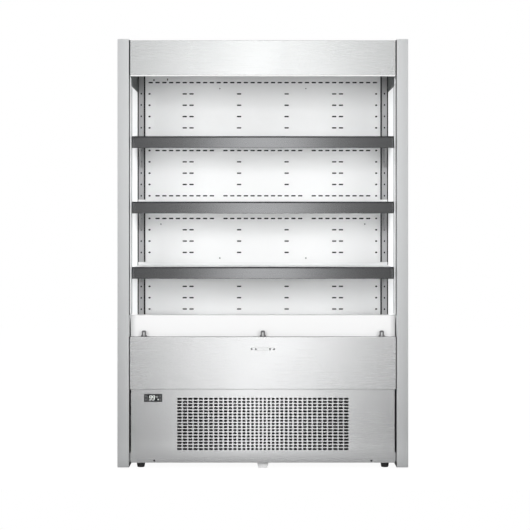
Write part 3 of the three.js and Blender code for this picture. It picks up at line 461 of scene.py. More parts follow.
@dataclass(frozen=True)
class MouldedPlastic(Finish):
    """Moulded plastic with a fine spark-eroded grain."""

    grain: float = 900.0
    depth: float = 0.00008

    def paint(self, surface: Surface) -> None:
        """Paints the grain, rubbed a little lighter in patches.

        Args:
            surface: The graph to paint in.
        """
        grain = surface.noise((self.grain,) * 3, 2)
        rub = surface.noise((14, 14, 14), 3)
        surface.dress(
            base_color=self.tones(surface, 0.9, 1.12, rub * 0.6 + grain * 0.4),
            roughness=(rub - 0.5) * 0.14 + self.roughness, normal=surface.bump(grain, self.depth))


@dataclass(frozen=True)
class Galvanised(Finish):
    """Zinc-coated steel with its crystal spangle."""

    spangle: float = 95.0
    depth: float = 0.00003

    def paint(self, surface: Surface) -> None:
        """Paints each crystal its own tone and polish.

        Args:
            surface: The graph to paint in.
        """
        cells = surface.node("ShaderNodeTexVoronoi", {"feature": "F1"}, {
            "Vector": surface.point((self.spangle,) * 3), "Scale": 1.0})
        parted = surface.node("ShaderNodeSeparateColor", None, {0: cells.outputs["Color"]})
        tint = Value(surface, parted.outputs[0])
        haze = surface.noise((11, 11, 11), 3)
        surface.dress(
            base_color=self.tones(surface, 0.82, 1.12, tint * 0.6 + haze * 0.4),
            metallic=0.85, roughness=tint * 0.16 + haze * 0.08 + (self.roughness - 0.12),
            normal=surface.bump(tint, self.depth))


@dataclass(frozen=True)
class RolledMetal(Finish):
    """Drawn copper or aluminium, dulled by handling."""

    dulling: float = 0.25
    depth: float = 0.00002

    def paint(self, surface: Surface) -> None:
        """Paints drawn lines under a patchy tarnish.

        Args:
            surface: The graph to paint in.
        """
        tarnish = surface.noise((22, 22, 22), 4)
        lines = surface.noise((300, 300, 300), 2)
        surface.dress(
            base_color=self.tones(surface, 1.0, 1 - 2 * self.dulling, tarnish),
            metallic=1.0, roughness=tarnish * 0.2 + lines * 0.08 + (self.roughness - 0.1),
            normal=surface.bump(lines, self.depth))


@dataclass(frozen=True)
class FilterMesh(Finish):
    """Black woven filter behind the grille."""

    pitch: float = 0.004
    depth: float = 0.0006

    def paint(self, surface: Surface) -> None:
        """Paints crossed strands from two waves.

        Args:
            surface: The graph to paint in.
        """
        place = surface.point()
        strands = surface.bands("X", place, self.pitch) * surface.bands("Z", place, self.pitch)
        surface.dress(base_color=self.tones(surface, 1.0, 0.4, strands),
                      roughness=strands * 0.1 + self.roughness, normal=surface.bump(strands, self.depth))


@dataclass(frozen=True)
class BlindCloth(Finish):
    """Woven night-blind cloth; its threads follow the piece's own UV map in metres."""

    thread: float = 0.0012
    waver: float = 0.4
    depth: float = 0.0002

    def paint(self, surface: Surface) -> None:
        """Paints a plain weave with slubs.

        Args:
            surface: The graph to paint in.
        """
        weave = surface.node("ShaderNodeUVMap", {"uv_map": "Threads"}).outputs[0]
        warp, weft = (surface.bands(direction, weave, self.thread, self.waver) for direction in ("X", "Y"))
        cloth = warp * 0.5 + weft * 0.5
        slub = surface.noise((60, 60, 400), 3)
        surface.dress(base_color=self.tones(surface, 0.8, 1.15, cloth * 0.6 + slub * 0.4),
                      roughness=cloth * 0.1 + self.roughness, normal=surface.bump(cloth, self.depth))


@dataclass(frozen=True)
class DisplayGlass(Finish):
    """Smoked display window with a clear coat."""

    def paint(self, surface: Surface) -> None:
        """Paints a faint haze of fingerprints.

        Args:
            surface: The graph to paint in.
        """
        prints = surface.noise((160, 160, 160), 3)
        surface.dress(base_color=self.tones(surface, 1.0, 1.6, prints),
                      roughness=prints * 0.12 + self.roughness, coat_weight=1.0)


@dataclass(frozen=True)
class LitSegment(Finish):
    """A lit part: a display segment or a lamp's diffuser."""

    glow: float = 1.0

    def paint(self, surface: Surface) -> None:
        """Paints a glow that is a little uneven.

        Args:
            surface: The graph to paint in.
        """
        drift = surface.noise((240, 240, 240), 1)
        surface.dress(base_color=self.colour, roughness=self.roughness, emission_strength=self.glow,
                      emission_color=self.tones(surface, 0.85, 1.0, drift))


PANEL_STEEL = BrushedSteel("panel_steel_brushed", (0.735, 0.74, 0.745), 0.27)
# painted shade: dark steel on the front panel's ledge stands for the shade along it
LEDGE_SHADE_STEEL = BrushedSteel("ledge_painted_shade", (0.3, 0.305, 0.31), 0.3)
GRILLE_STEEL = BrushedSteel("grille_steel_brushed", (0.7, 0.705, 0.71), 0.26)
CANOPY_STEEL = BrushedSteel("canopy_steel_brushed", (0.68, 0.69, 0.69), 0.27)
# painted highlight: near-white steel on the canopy's hem stands for the light that the edge catches
HEM_HIGHLIGHT_STEEL = BrushedSteel("hem_painted_highlight", (0.93, 0.93, 0.93), 0.3)
SKIN_STEEL = SkinSteel("end_panel_skin_brushed", (0.71, 0.72, 0.725), 0.3)
REAR_SKIN = SkinSteel("outer_skin_satin", (0.6, 0.61, 0.61), 0.42)
RAIL_STEEL = BrushedSteel("rail_steel_brushed", (0.7, 0.705, 0.71), 0.26)
STRIP_STEEL = BrushedSteel("strip_steel_dark", (0.15, 0.152, 0.155), 0.16, streak=0.04)
# painted shade: mid-grey steel round the pull plate stands for the shade in its recess
PULL_RIM_SHADE_STEEL = BrushedSteel("pull_rim_painted_shade", (0.5, 0.5, 0.5), 0.3)
CATCH_STEEL = BrushedSteel("catch_steel_dark", (0.22, 0.22, 0.225), 0.4, grain=Axis.Z)
BLACK_LINE = PaintedSheet("edge_trim_black", (0.025, 0.025, 0.027), 0.5)
WHITE_PAINT = PaintedSheet("white_powder_coat", (0.86, 0.865, 0.87), 0.42)
RISER_PAINT = PaintedSheet("riser_white_coat", (0.91, 0.91, 0.91), 0.36)
WALL_PAINT = PaintedSheet("back_wall_coat", (0.93, 0.935, 0.935), 0.45)
SHELF_PAINT = PaintedSheet("shelf_white_coat", (0.88, 0.885, 0.885), 0.4)
UPRIGHT_PAINT = PaintedSheet("upright_grey_coat", (0.42, 0.42, 0.425), 0.42)
BRACKET_PAINT = PaintedSheet("bracket_grey_coat", (0.3, 0.3, 0.305), 0.42)
CEILING_PAINT = PaintedSheet("ceiling_grey_coat", (0.16, 0.163, 0.165), 0.45)
# painted shade: near-black sheets put in gaps, corners and behind slots stand for the shade there
SHADE_BLACK = PaintedSheet("painted_shade_black", (0.006, 0.006, 0.006), 0.75)
CHEEK_PAINT = PaintedSheet("cheek_grey_coat", (0.08, 0.09, 0.09), 0.45)
JAMB_METAL = RolledMetal("jamb_aluminium", (0.46, 0.463, 0.466), 0.42, 0.06)
BLACK_PAINT = PaintedSheet("black_enamel", (0.014, 0.014, 0.015), 0.34)
BLACK_PLASTIC = MouldedPlastic("black_plastic_moulded", (0.02, 0.02, 0.022), 0.5)
FOOT_PLASTIC = MouldedPlastic("foot_plastic_moulded", (0.034, 0.034, 0.036), 0.5)
KEY_PLASTIC = MouldedPlastic("key_plastic_moulded", (0.16, 0.165, 0.17), 0.5)
BEZEL_PLASTIC = MouldedPlastic("bezel_plastic_moulded", (0.045, 0.046, 0.048), 0.42)
SUPPORT_PLASTIC = MouldedPlastic("support_plastic_pale", (0.95, 0.95, 0.95), 0.5, 300)
OUTLET_PLASTIC = MouldedPlastic("outlet_plastic_grey", (0.3, 0.31, 0.32), 0.55)
ZINC = Galvanised("galvanised_sheet", (0.5, 0.51, 0.52), 0.46)
FIN_METAL = RolledMetal("fin_aluminium", (0.72, 0.73, 0.74), 0.4, 0.1)
TUBE_METAL = RolledMetal("blind_tube_aluminium", (0.66, 0.67, 0.68), 0.38, 0.08)
COPPER = RolledMetal("copper_tube", (0.72, 0.34, 0.2), 0.34, 0.22)
SCREW_STEEL = RolledMetal("fastener_steel", (0.34, 0.345, 0.35), 0.36, 0.1)
DARK_STEEL = RolledMetal("fastener_dark", (0.06, 0.06, 0.062), 0.4, 0.1)
FILTER_BLACK = FilterMesh("filter_mesh_black", (0.006, 0.006, 0.006), 0.8)
GLASS_BLACK = DisplayGlass("display_glass_smoked", (0.012, 0.013, 0.014), 0.12)
DIGIT_LIGHT = LitSegment("display_digit_light", (0.8, 0.82, 0.8), 0.5, 0.5)
MARK_LIGHT = LitSegment("display_mark_light", (0.5, 0.51, 0.5), 0.5, 0.25)
LAMP_LIGHT = LitSegment("lamp_diffuser", (0.95, 0.96, 0.97), 0.6, 0.8)
NIGHT_CLOTH = BlindCloth("night_blind_cloth", (0.45, 0.47, 0.49), 0.72)
SEAL_RUBBER = MouldedPlastic("seal_rubber", (0.03, 0.03, 0.03), 0.65)


@dataclass(frozen=True)
class Hole:
    """A round or slotted hole in a plate, by its middle and size on the plate."""

    middle: Point
    width: float
    height: float
    steps: int = ROUND

    def trace(self, part: bmesh.types.BMesh) -> None:
        """Adds the hole's edge loop to a flat bmesh.

        Args:
            part: The bmesh, drawn on its own XY plane.
        """
        small = min(self.width, self.height)
        made = bmesh.ops.create_circle(part, cap_ends=False, segments=self.steps,
                                       radius=small / 2 / math.cos(math.pi / self.steps),
                                       matrix=Matrix.Rotation(math.pi / self.steps, 4, "Z"))
        half = (self.width - small) / 2, (self.height - small) / 2
        for vert in made["verts"]:
            vert.co.x += self.middle[0] + math.copysign(half[0], vert.co.x)
            vert.co.y += self.middle[1] + math.copysign(half[1], vert.co.y)


def box_part(x: Span, y: Span, z: Span) -> bmesh.types.BMesh:
    """A plain box.

    Args:
        x: Its span along X.
        y: Its span along Y.
        z: Its span along Z.

    Returns:
        The box.
    """
    part = bmesh.new()
    bmesh.ops.create_cube(part, size=1.0)
    bmesh.ops.scale(part, vec=[high - low for low, high in (x, y, z)], verts=part.verts[:])
    bmesh.ops.translate(part, vec=[centre_of(whole) for whole in (x, y, z)], verts=part.verts[:])
    return part


def raised_part(outline: Sequence[Point], foot: float, height: float,
                holes: Sequence[Hole] = ()) -> bmesh.types.BMesh:
    """A flat outline with its holes, given a height along Z.

    Args:
        outline: The outline's corners.
        foot: The level that it starts from.
        height: Its height.
        holes: Holes right through it.

    Returns:
        The part, with its faces pointing outwards.
    """
    part = bmesh.new()
    corners = [part.verts.new((u, v, foot)) for u, v in outline]
    for start, end in zip(corners, corners[1:] + corners[:1]):
        part.edges.new((start, end))
    for hole in holes:
        hole.trace(part)
    bmesh.ops.triangle_fill(part, edges=part.edges[:], use_beauty=True, use_dissolve=not holes)
    grown = bmesh.ops.extrude_face_region(part, geom=part.faces[:])
    raised = [item for item in grown["geom"] if isinstance(item, bmesh.types.BMVert)]
    bmesh.ops.translate(part, vec=(0, 0, height), verts=raised)
    bmesh.ops.recalc_face_normals(part, faces=part.faces[:])
    return part


def rise(edge: bmesh.types.BMEdge) -> float:
    """The difference in height between an edge's ends."""
    return abs(edge.verts[0].co.z - edge.verts[1].co.z)


def round_edges(part: bmesh.types.BMesh, edges: Sequence, radius: float, segments: int,
                clamp: bool = True) -> None:
    """Bevels edges, where the radius isn't zero.

    Args:
        part: The part.
        edges: The edges.
        radius: The radius.
        segments: Faces across each edge.
        clamp: Whether the radius shrinks where two bevels would meet.
    """
    if radius:
        bmesh.ops.bevel(part, geom=edges, offset=radius, segments=segments, affect="EDGES", profile=0.5,
                        material=-1, clamp_overlap=clamp)


class Shape:
    """A piece in the making: parts are shaped by bmesh operators, then gathered with their finishes."""

    def __init__(self, name: str) -> None:
        """Starts an empty piece.

        Args:
            name: The piece's name.
        """
        self.name = name
        self.mesh = bmesh.new()
        self.finishes: list[Finish] = []
        self.flats = True

    def gather(self, part: bmesh.types.BMesh, finish: Finish, whole: bool = True) -> None:
        """Merges a part into the piece.

        Args:
            part: The part, which is freed.
            finish: Its finish.
            whole: Whether the part is closed, so its faces can be turned outwards.
        """
        if finish not in self.finishes:
            self.finishes.append(finish)
        if whole:
            bmesh.ops.recalc_face_normals(part, faces=part.faces[:])
        for face in part.faces:
            face.material_index = self.finishes.index(finish)
            face.smooth = True
        for edge in part.edges:
            if len(edge.link_faces) == 2 and edge.calc_face_angle(0) > CREASE:
                edge.smooth = False
        scratch = bpy.data.meshes.new("scratch")
        part.to_mesh(scratch)
        part.free()
        self.mesh.from_mesh(scratch)
        bpy.data.meshes.remove(scratch)

    def block(self, x: Span, y: Span, z: Span, finish: Finish, bevel: float = 0.0, segments: int = 2) -> None:
        """Adds a rectangular part with rounded edges.

        Args:
            x: Its span along X.
            y: Its span along Y.
            z: Its span along Z.
            finish: Its finish.
            bevel: Radius of its edges.
            segments: Faces across each edge.
        """
        part = box_part(x, y, z)
        round_edges(part, part.edges[:], bevel, segments)
        self.gather(part, finish)

    def plate(self, axis: Axis, outline: Sequence[Point], across: Span, finish: Finish,
              holes: Sequence[Hole] = (), bevel: float = 0.0, corner: float = 0.0) -> None:
        """Adds a flat outline, drawn across an axis and given a thickness along it.

        Args:
            axis: The axis.
            outline: The outline's corners.
            across: Where the part starts and ends along the axis.
            finish: Its finish.
            holes: Holes right through it.
            bevel: Radius of the edges of its two faces.
            corner: Radius of the outline's corners.
        """
        part = raised_part(outline, 0.0, across[1] - across[0], holes)
        upright = [edge for edge in part.edges if rise(edge) > NO_LENGTH]
        round_edges(part, upright, corner, 4)
        rims = [edge for edge in part.edges if rise(edge) < NO_LENGTH and edge.calc_face_angle(0) > RIM_ANGLE]
        round_edges(part, rims, bevel, 2)
        bmesh.ops.translate(part, vec=(0, 0, across[0]), verts=part.verts[:])
        bmesh.ops.transform(part, matrix=axis.matrix, verts=part.verts[:])
        self.gather(part, finish)

    def folded(self, path: Sequence[Point], x: Span, thickness: float, finish: Finish,
               bend: float = 0.002, segments: int = 3) -> None:
        """Adds a folded sheet that runs along X; its path is the outer side, with the metal on its left.

        Args:
            path: The (y, z) corners of the sheet's outer side.
            x: Its span along X.
            thickness: The metal's thickness.
            finish: Its finish.
            bend: Outer radius of the folds.
            segments: Faces across each fold.
        """
        part = bmesh.new()
        corners = [part.verts.new((x[0], y, z)) for y, z in path]
        run = [part.edges.new(pair) for pair in zip(corners, corners[1:])]
        swept = bmesh.ops.extrude_edge_only(part, edges=run)
        moved = [item for item in swept["geom"] if isinstance(item, bmesh.types.BMVert)]
        bmesh.ops.translate(part, vec=(x[1] - x[0], 0, 0), verts=moved)
        bmesh.ops.recalc_face_normals(part, faces=part.faces[:])
        part.normal_update()
        first = run[0].link_faces[0]
        inward = Vector((0, path[0][1] - path[1][1], path[1][0] - path[0][0]))
        if first.normal.dot(inward) > 0:
            bmesh.ops.reverse_faces(part, faces=part.faces[:])
        folds = [edge for edge in part.edges if len(edge.link_faces) == 2]
        round_edges(part, folds, bend, segments)
        bmesh.ops.solidify(part, geom=part.faces[:], thickness=thickness)
        self.gather(part, finish)

    def turned(self, profile: Sequence[Point], centre: Place | Vector, axis: Axis, finish: Finish,
               steps: int = 32, ring: bool = False) -> None:
        """Adds a part turned about an axis.

        Args:
            profile: (radius, height along the axis) points.
            centre: Where the axis passes, with height zero.
            axis: The axis.
            finish: Its finish.
            steps: Faces round the turn.
            ring: Whether the profile closes on itself instead of on the axis.
        """
        part = bmesh.new()
        points = [part.verts.new((radius, 0, height)) for radius, height in profile]
        edges = [part.edges.new(pair) for pair in zip(points, points[1:])]
        if ring:
            edges.append(part.edges.new((points[-1], points[0])))
        bmesh.ops.spin(part, geom=points + edges, cent=(0, 0, 0), axis=(0, 0, 1), angle=FULL_TURN,
                       steps=steps, use_merge=True, use_duplicate=False)
        bmesh.ops.remove_doubles(part, verts=part.verts[:], dist=NO_LENGTH)
        bmesh.ops.transform(part, matrix=Matrix.Translation(centre) @ axis.matrix, verts=part.verts[:])
        self.gather(part, finish)

    def tube(self, points: Sequence[Place | Vector], radius: float, finish: Finish, sides: int = 3) -> None:
        """Adds a bent round tube or rod.

        Args:
            points: The corners of its run, which the tube rounds.
            radius: Its outer radius.
            finish: Its finish.
            sides: Curve steps over a quarter of its round.
        """
        curve = bpy.data.curves.new("run", "CURVE")
        curve.dimensions = "3D"
        curve.bevel_depth = radius
        curve.bevel_resolution = sides
        curve.resolution_u = 6
        curve.use_fill_caps = True
        spline = curve.splines.new("NURBS")
        spline.points.add(len(points) - 1)
        for control, place in zip(spline.points, points):
            control.co = (*place, 1)
        spline.order_u = 3
        spline.use_endpoint_u = True
        holder = bpy.data.objects.new("run", curve)
        mesh = bpy.data.meshes.new_from_object(holder)
        part = bmesh.new()
        part.from_mesh(mesh)
        bmesh.ops.remove_doubles(part, verts=part.verts[:], dist=NO_LENGTH)
        bpy.data.objects.remove(holder)
        bpy.data.curves.remove(curve)
        bpy.data.meshes.remove(mesh)
        self.gather(part, finish)

    def screw(self, centre: Place, axis: Axis, radius: float, finish: Finish, facing: int = -1) -> None:
        """Adds a pan-head screw with a socket.

        Args:
            centre: Middle of its seat.
            axis: Its axis.
            radius: Its head's radius.
            finish: Its finish.
            facing: -1 or 1, the way its head points along the axis.
        """
        tall = radius * SCREW_RISE * facing
        head = [(0, tall * 0.4), (radius * 0.38, tall * 0.4), (radius * 0.42, tall),
                (radius * 0.75, tall * 0.9), (radius, tall * 0.35), (radius, 0), (0, 0)]
        self.turned(head, centre, axis, finish, 14)

    def wire_ring(self, centre: Vector, radius: float, wire: float) -> None:
        """Adds a wire bent into a ring across Y.

        Args:
            centre: The ring's middle.
            radius: The ring's radius.
            wire: The wire's radius.
        """
        turns = [k * math.pi / 3 for k in range(6)]
        section = [(radius + wire * math.cos(turn), wire * math.sin(turn)) for turn in turns]
        self.turned(section, centre, Axis.Y, SCREW_STEEL, 40, ring=True)

    def done(self, body: str | None, replaces: Iterable[str] = ()) -> bpy.types.Object:
        """Finishes the piece and sets it on its CAD body.

        Args:
            body: The CAD body that it rides on, or None for a piece that is blended between two.
            replaces: CAD nodes that it stands for.

        Returns:
            The piece.
        """
        mesh = bpy.data.meshes.new(self.name)
        self.mesh.to_mesh(mesh)
        self.mesh.free()
        for finish in self.finishes:
            mesh.materials.append(finish.material())
        piece = bpy.data.objects.new(self.name, mesh)
        bpy.context.scene.collection.objects.link(piece)
        if self.flats:
            flats = piece.modifiers.new("flats", "WEIGHTED_NORMAL")
            flats.keep_sharp = True
        if body:
            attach(piece, body)
        if replaces:
            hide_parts(*replaces)
        LOG.info("%s: %d faces on %s", self.name, len(mesh.polygons), body or "two bodies")
        return piece


def box_outline(across: Span, up: Span) -> list[Point]:
    """The four corners of a rectangle."""
    return [(across[0], up[0]), (across[1], up[0]), (across[1], up[1]), (across[0], up[1])]


def gap_shade(shape: Shape, side: int, edge: float, front: float, z: Span) -> None:
    """Fills the gap between a front panel and an end panel with a black sheet that paints the shade in it.

    Args:
        shape: The piece that it joins.
        side: -1 or 1.
        edge: The panel's half width.
        front: The panel's front face.
        z: The seal's span along Z.
    """
    across = on_side(side, edge - OVERLAP, LINER_FACE)
    # painted shade: a black sheet just behind the panel's front
    shape.block(across, (front + 0.0012, front + 0.014), z, SHADE_BLACK, 0.0004, 1)


def carry(finish: Finish, *nodes: str) -> None:
    """Gives CAD nodes whose shape is kept their finish.

    Args:
        finish: The finish.
        nodes: The nodes' names.
    """
    for node in nodes:
        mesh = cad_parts[node].data
        mesh.materials.clear()
        mesh.materials.append(finish.material())
        LOG.info("%s: carried over in %s", node, finish.name)


@dataclass
class EndPanels:
    """The two foamed end panels, with the trims on their inner faces."""

    edge: float = 0.0028
    rebate: float = 0.0024
    rebate_start: float = 0.154
    rebate_end: float = 0.168
    seam: Span = (0.0318, 0.031)
    face: float = 0.552
    trim: float = 0.0015
    liner_trim: float = 0.0008
    guide_y: Span = (-0.302, -0.262)
    liner_y: Span = (-0.261, -0.207)
    strip_y: Span = (-0.206, -0.158)
    first_screw: float = 0.06
    screw_pitch: float = 0.19
    cheek_face: float = 0.5502
    cheek_y: Span = (-0.207, 0.1645)
    cheek_z: Span = (1.59, 1.6645)
    cheek_screws: tuple[float, ...] = (-0.18, -0.02, 0.14)
    cheek_screw_z: float = 1.61

    def build(self) -> None:
        """Builds both end panels."""
        for side, word in SIDES:
            self.panel(side, word)
            self.jamb(side, word)
            self.cheek(side, word)
        carry(WHITE_PAINT, "side_liner_left", "side_liner_right")

    def panel(self, side: int, word: str) -> None:
        """The panel itself, with rounded front edges and a folded seam at its back.

        Args:
            side: -1 or 1.
            word: left or right.
        """
        node = f"end_panel_{word}"
        x, y, z = extent(node)
        inner, outer = sorted((abs(x[0]), abs(x[1])))
        start, end = y[0] + self.rebate_start, self.rebate_end
        plan = [(inner, y[0]), (outer, y[0]), (outer, y[1]), (inner, y[1]), (inner, end),
                (inner + self.rebate, end), (inner + self.rebate, start), (inner, start)]
        shape = Shape(f"end_panel_skin_{word}")
        part = raised_part([(side * u, v) for u, v in plan], z[0], z[1] - z[0])
        rims = [edge for edge in part.edges
                if all(vert.co.y < start - 0.001 or vert.co.y > y[1] - 0.01 for vert in edge.verts)]
        round_edges(part, rims, self.edge, 3, clamp=False)
        shape.gather(part, SKIN_STEEL)
        seam = (y[1] - self.seam[0], y[1] - self.seam[1])
        shape.block(on_side(side, outer - 0.0004, outer), seam, (z[0] + 0.004, z[1] - 0.004), BLACK_LINE)
        shape.done("root", [node])

    def jamb(self, side: int, word: str) -> None:
        """Blind guide, liner edge and aluminium strip on the inner face, in front of the liner.

        Args:
            side: -1 or 1.
            word: left or right.
        """
        bottom = extent("riser")[2][1] + 0.001
        top = extent("canopy_front")[2][0] - 0.001
        shape = Shape(f"jamb_trim_{word}")
        inner = on_side(side, self.face - self.trim, self.face)
        shape.block(inner, self.guide_y, (bottom, top), BLACK_LINE, 0.0004, 1)
        thin = on_side(side, self.face - self.liner_trim, self.face)
        shape.block(thin, self.liner_y, (bottom, top), WHITE_PAINT, 0.0003, 1)
        shape.block(inner, self.strip_y, (bottom, self.cheek_z[0]), JAMB_METAL, 0.0006, 2)
        for i in range(int((self.cheek_z[0] - bottom) / self.screw_pitch)):
            place = (side * (self.face - OVERLAP), centre_of(self.strip_y),
                     bottom + self.first_screw + i * self.screw_pitch)
            shape.screw(place, Axis.X, 0.0028, SCREW_STEEL, -side)
        shape.done("root")

    def cheek(self, side: int, word: str) -> None:
        """Dark cheek plate beside the canopy's air outlet.

        Args:
            side: -1 or 1.
            word: left or right.
        """
        shape = Shape(f"canopy_cheek_{word}")
        across = on_side(side, self.cheek_face, LINER_FACE)
        shape.block(across, self.cheek_y, self.cheek_z, CHEEK_PAINT, 0.0005, 1)
        for y in self.cheek_screws:
            shape.screw((side * self.cheek_face, y, self.cheek_screw_z), Axis.X, 0.003, SCREW_STEEL, -side)
        shape.done("root")


@dataclass
class OuterPanels:
    """Back and top panels, with their fasteners."""

    fastener: float = 0.0045
    smaller: float = 0.9
    sunk: float = 0.0024
    margin: float = 0.03
    across: int = 6
    upright: int = 6
    rear_edge: float = 0.02
    top_front: float = 0.075

    def build(self) -> None:
        """Dresses the CAD panels and adds what holds them."""
        carry(REAR_SKIN, "back_panel", "top_panel")
        x, y, z = extent("back_panel")
        places = [(u, v) for u in spread(x, self.margin, self.across)
                  for v in (z[0] + self.rear_edge, z[1] - self.rear_edge)]
        places += [(u, z[0] + i * (z[1] - z[0]) / self.upright) for i in range(1, self.upright)
                   for u in (x[0] + self.margin, x[1] - self.margin)]
        shape = Shape("back_panel_fasteners")
        for u, v in places:
            shape.screw((u, y[1] - self.sunk, v), Axis.Y, self.fastener * self.smaller, SCREW_STEEL, 1)
        shape.done("root")
        x, y, z = extent("top_panel")
        shape = Shape("top_panel_fasteners")
        for u in spread(x, self.margin, self.across):
            for v in (y[0] + self.top_front, y[1] - self.margin):
                shape.screw((u, v, z[1]), Axis.Z, self.fastener, SCREW_STEEL, 1)
        shape.done("root")


@dataclass
class Plinth:
    """Tube frame, machine tray, feet and the middle support."""

    foot_radius: float = 0.018
    cup_height: float = 0.0258
    stem_radius: float = 0.006
    thread_turns: int = 16
    support_foot: float = 0.68
    support_knee: Point = (0.8, 0.008)
    ribs: int = 5
    rib_width: float = 0.0042
    mark: Point = (0.4485, 0.0345)

    def build(self) -> None:
        """Builds the plinth."""
        carry(ZINC, "machine_tray")
        carry(RAIL_STEEL, "base_frame")
        self.rail_marks()
        self.support()
        for end in ("front", "rear"):
            for _, word in SIDES:
                self.foot(f"foot_{end}_{word}")

    def foot(self, node: str) -> None:
        """A levelling foot: a rounded cup and its threaded stem.

        Args:
            node: The CAD foot, which is also its body's name.
        """
        x, y, z = extent(node)
        centre = (centre_of(x), centre_of(y), 0.0)
        r, h = min(self.foot_radius, (x[1] - x[0]) / 2), self.cup_height
        shape = Shape(f"{node}_levelling")
        cup = [(0, 0.0), (r * 0.74, 0.0), (r * 0.86, 0.0012), (r * 0.93, 0.006), (r * 0.985, 0.0135),
               (r, 0.0175), (r, h - 0.0018), (r * 0.96, h), (0, h)]
        shape.turned(cup, centre, Axis.Z, FOOT_PLASTIC, 40)
        low, high = h - 0.001, z[1]
        thread = [(0, low)]
        for i in range(self.thread_turns):
            level = low + (high - low) * i / self.thread_turns
            crest = level + (high - low) / self.thread_turns / 2
            thread += [(self.stem_radius * 0.86, level), (self.stem_radius, crest)]
        thread += [(self.stem_radius * 0.8, high), (0, high)]
        shape.turned(thread, centre, Axis.Z, SCREW_STEEL, 20)
        shape.done(node, [node])

    def support(self) -> None:
        """The ribbed moulded support under the middle of the rail."""
        x, y, z = extent("centre_support")
        half = (x[1] - x[0]) / 2
        foot = half * self.support_foot
        knee, knee_z = half * self.support_knee[0], z[0] + self.support_knee[1]
        shape = Shape("centre_support_ribbed")
        outline = [(-foot, z[0]), (foot, z[0]), (knee, knee_z), (half, z[1]), (-half, z[1]), (-knee, knee_z)]
        shape.plate(Axis.Y, outline, (y[0] + 0.004, y[1]), SUPPORT_PLASTIC, bevel=0.001)
        for i in range(-(self.ribs // 2), self.ribs // 2 + 1):
            low = i * foot / 2.35
            high = low * (1.0 + 0.2 * abs(i) / 2) * 1.14
            thick = self.rib_width / 2
            rib = [(low - thick, z[0] + 0.001), (low + thick, z[0] + 0.001),
                   (high + thick, z[1]), (high - thick, z[1])]
            shape.plate(Axis.Y, rib, (y[0], y[0] + 0.006), SUPPORT_PLASTIC, bevel=0.0008)
        shape.done("root", ["centre_support"])

    def rail_marks(self) -> None:
        """Dark fixings in the front rail."""
        shape = Shape("rail_fasteners")
        front = extent("base_frame")[1][0]
        for side, _ in SIDES:
            shape.screw((side * self.mark[0], front, self.mark[1]), Axis.Y, 0.0042, DARK_STEEL)
        shape.done("root")


@dataclass
class Grille:
    """Condenser grille panel: obround slots that shorten and close up towards its middle."""

    columns: int = 18
    first_pitch: float = 0.0166
    pitch_growth: float = 0.000355
    first_width: float = 0.011
    width_growth: float = 0.0005
    rows: int = 17
    top_row: float = 0.2896
    row_pitch: float = 0.013
    slot_height: float = 0.0087
    sheet: float = 0.001
    window: tuple[Span, Span] = ((-0.4895, -0.4175), (0.2785, 0.3081))
    screen_half: float = 0.36
    screen_margin: Span = (0.026, 0.03)
    screen_bars: tuple[float, ...] = (-0.362, -0.12, 0.12, 0.362)

    def build(self) -> None:
        """Builds the grille panel and the filter behind it."""
        x, y, z = extent("grille_panel")
        shape = Shape("grille_panel_slotted")
        holes = [Hole((side * u, v), width, self.slot_height) for u, width in self.slot_columns()
                 for v in self.slot_rows() for side, _ in SIDES]
        wide, tall = self.window
        aperture = Hole((centre_of(wide), centre_of(tall)), wide[1] - wide[0], tall[1] - tall[0], SQUARE)
        shape.plate(Axis.Y, box_outline(x, z), (y[0], y[0] + self.sheet), GRILLE_STEEL, [*holes, aperture])
        depth = (y[0] + self.sheet, y[1])
        for wall in ends(x, self.sheet):
            shape.block(wall, depth, z, GRILLE_STEEL)
        for wall in reversed(ends(z, self.sheet)):
            shape.block((x[0] + self.sheet, x[1] - self.sheet), depth, wall, GRILLE_STEEL)
        shape.done("root", ["grille_panel"])
        self.screen(y[1], (z[0] + self.screen_margin[0], z[1] - self.screen_margin[1]))

    def screen(self, back: float, z: Span) -> None:
        """The filter behind the panel, in its frame of bars.

        Args:
            back: The panel's back.
            z: The filter's span along Z.
        """
        shape = Shape("condenser_filter")
        half, edge = self.screen_half, self.screen_half + 0.004
        shape.block((-half, half), (back - 0.0035, back - 0.001), z, FILTER_BLACK, 0.0008)
        for v in z:
            shape.block((-edge, edge), (back - 0.0045, back), about(v, 0.006), BLACK_PLASTIC, 0.0008)
        upright = (z[0] + 0.002, z[1] - 0.002)
        for u in self.screen_bars:
            shape.block(about(u, 0.005), (back - 0.0042, back), upright, BLACK_PLASTIC, 0.0006)
        shape.done("root")

    def slot_columns(self) -> list[tuple[float, float]]:
        """The columns of one half.

        Returns:
            Each column's distance from the middle, and its slots' width.
        """
        places, place = [], self.first_pitch / 2
        for i in range(self.columns):
            places.append((place, self.first_width + self.width_growth * i))
            place += self.first_pitch + self.pitch_growth * (i + 1)
        return places

    def slot_rows(self) -> list[float]:
        """The heights of the rows."""
        return [self.top_row - i * self.row_pitch for i in range(self.rows)]


class Segment(Enum):
    """The bars of a seven-bar digit: middle on the digit and whether it lies flat."""

    TOP = (0.0, 1.0, True)
    UPPER_LEFT = (-0.5, 0.75, False)
    UPPER_RIGHT = (0.5, 0.75, False)
    MIDDLE = (0.0, 0.5, True)
    LOWER_LEFT = (-0.5, 0.25, False)
    LOWER_RIGHT = (0.5, 0.25, False)
    BOTTOM = (0.0, 0.0, True)


NINE = tuple(segment for segment in Segment if segment is not Segment.LOWER_LEFT)
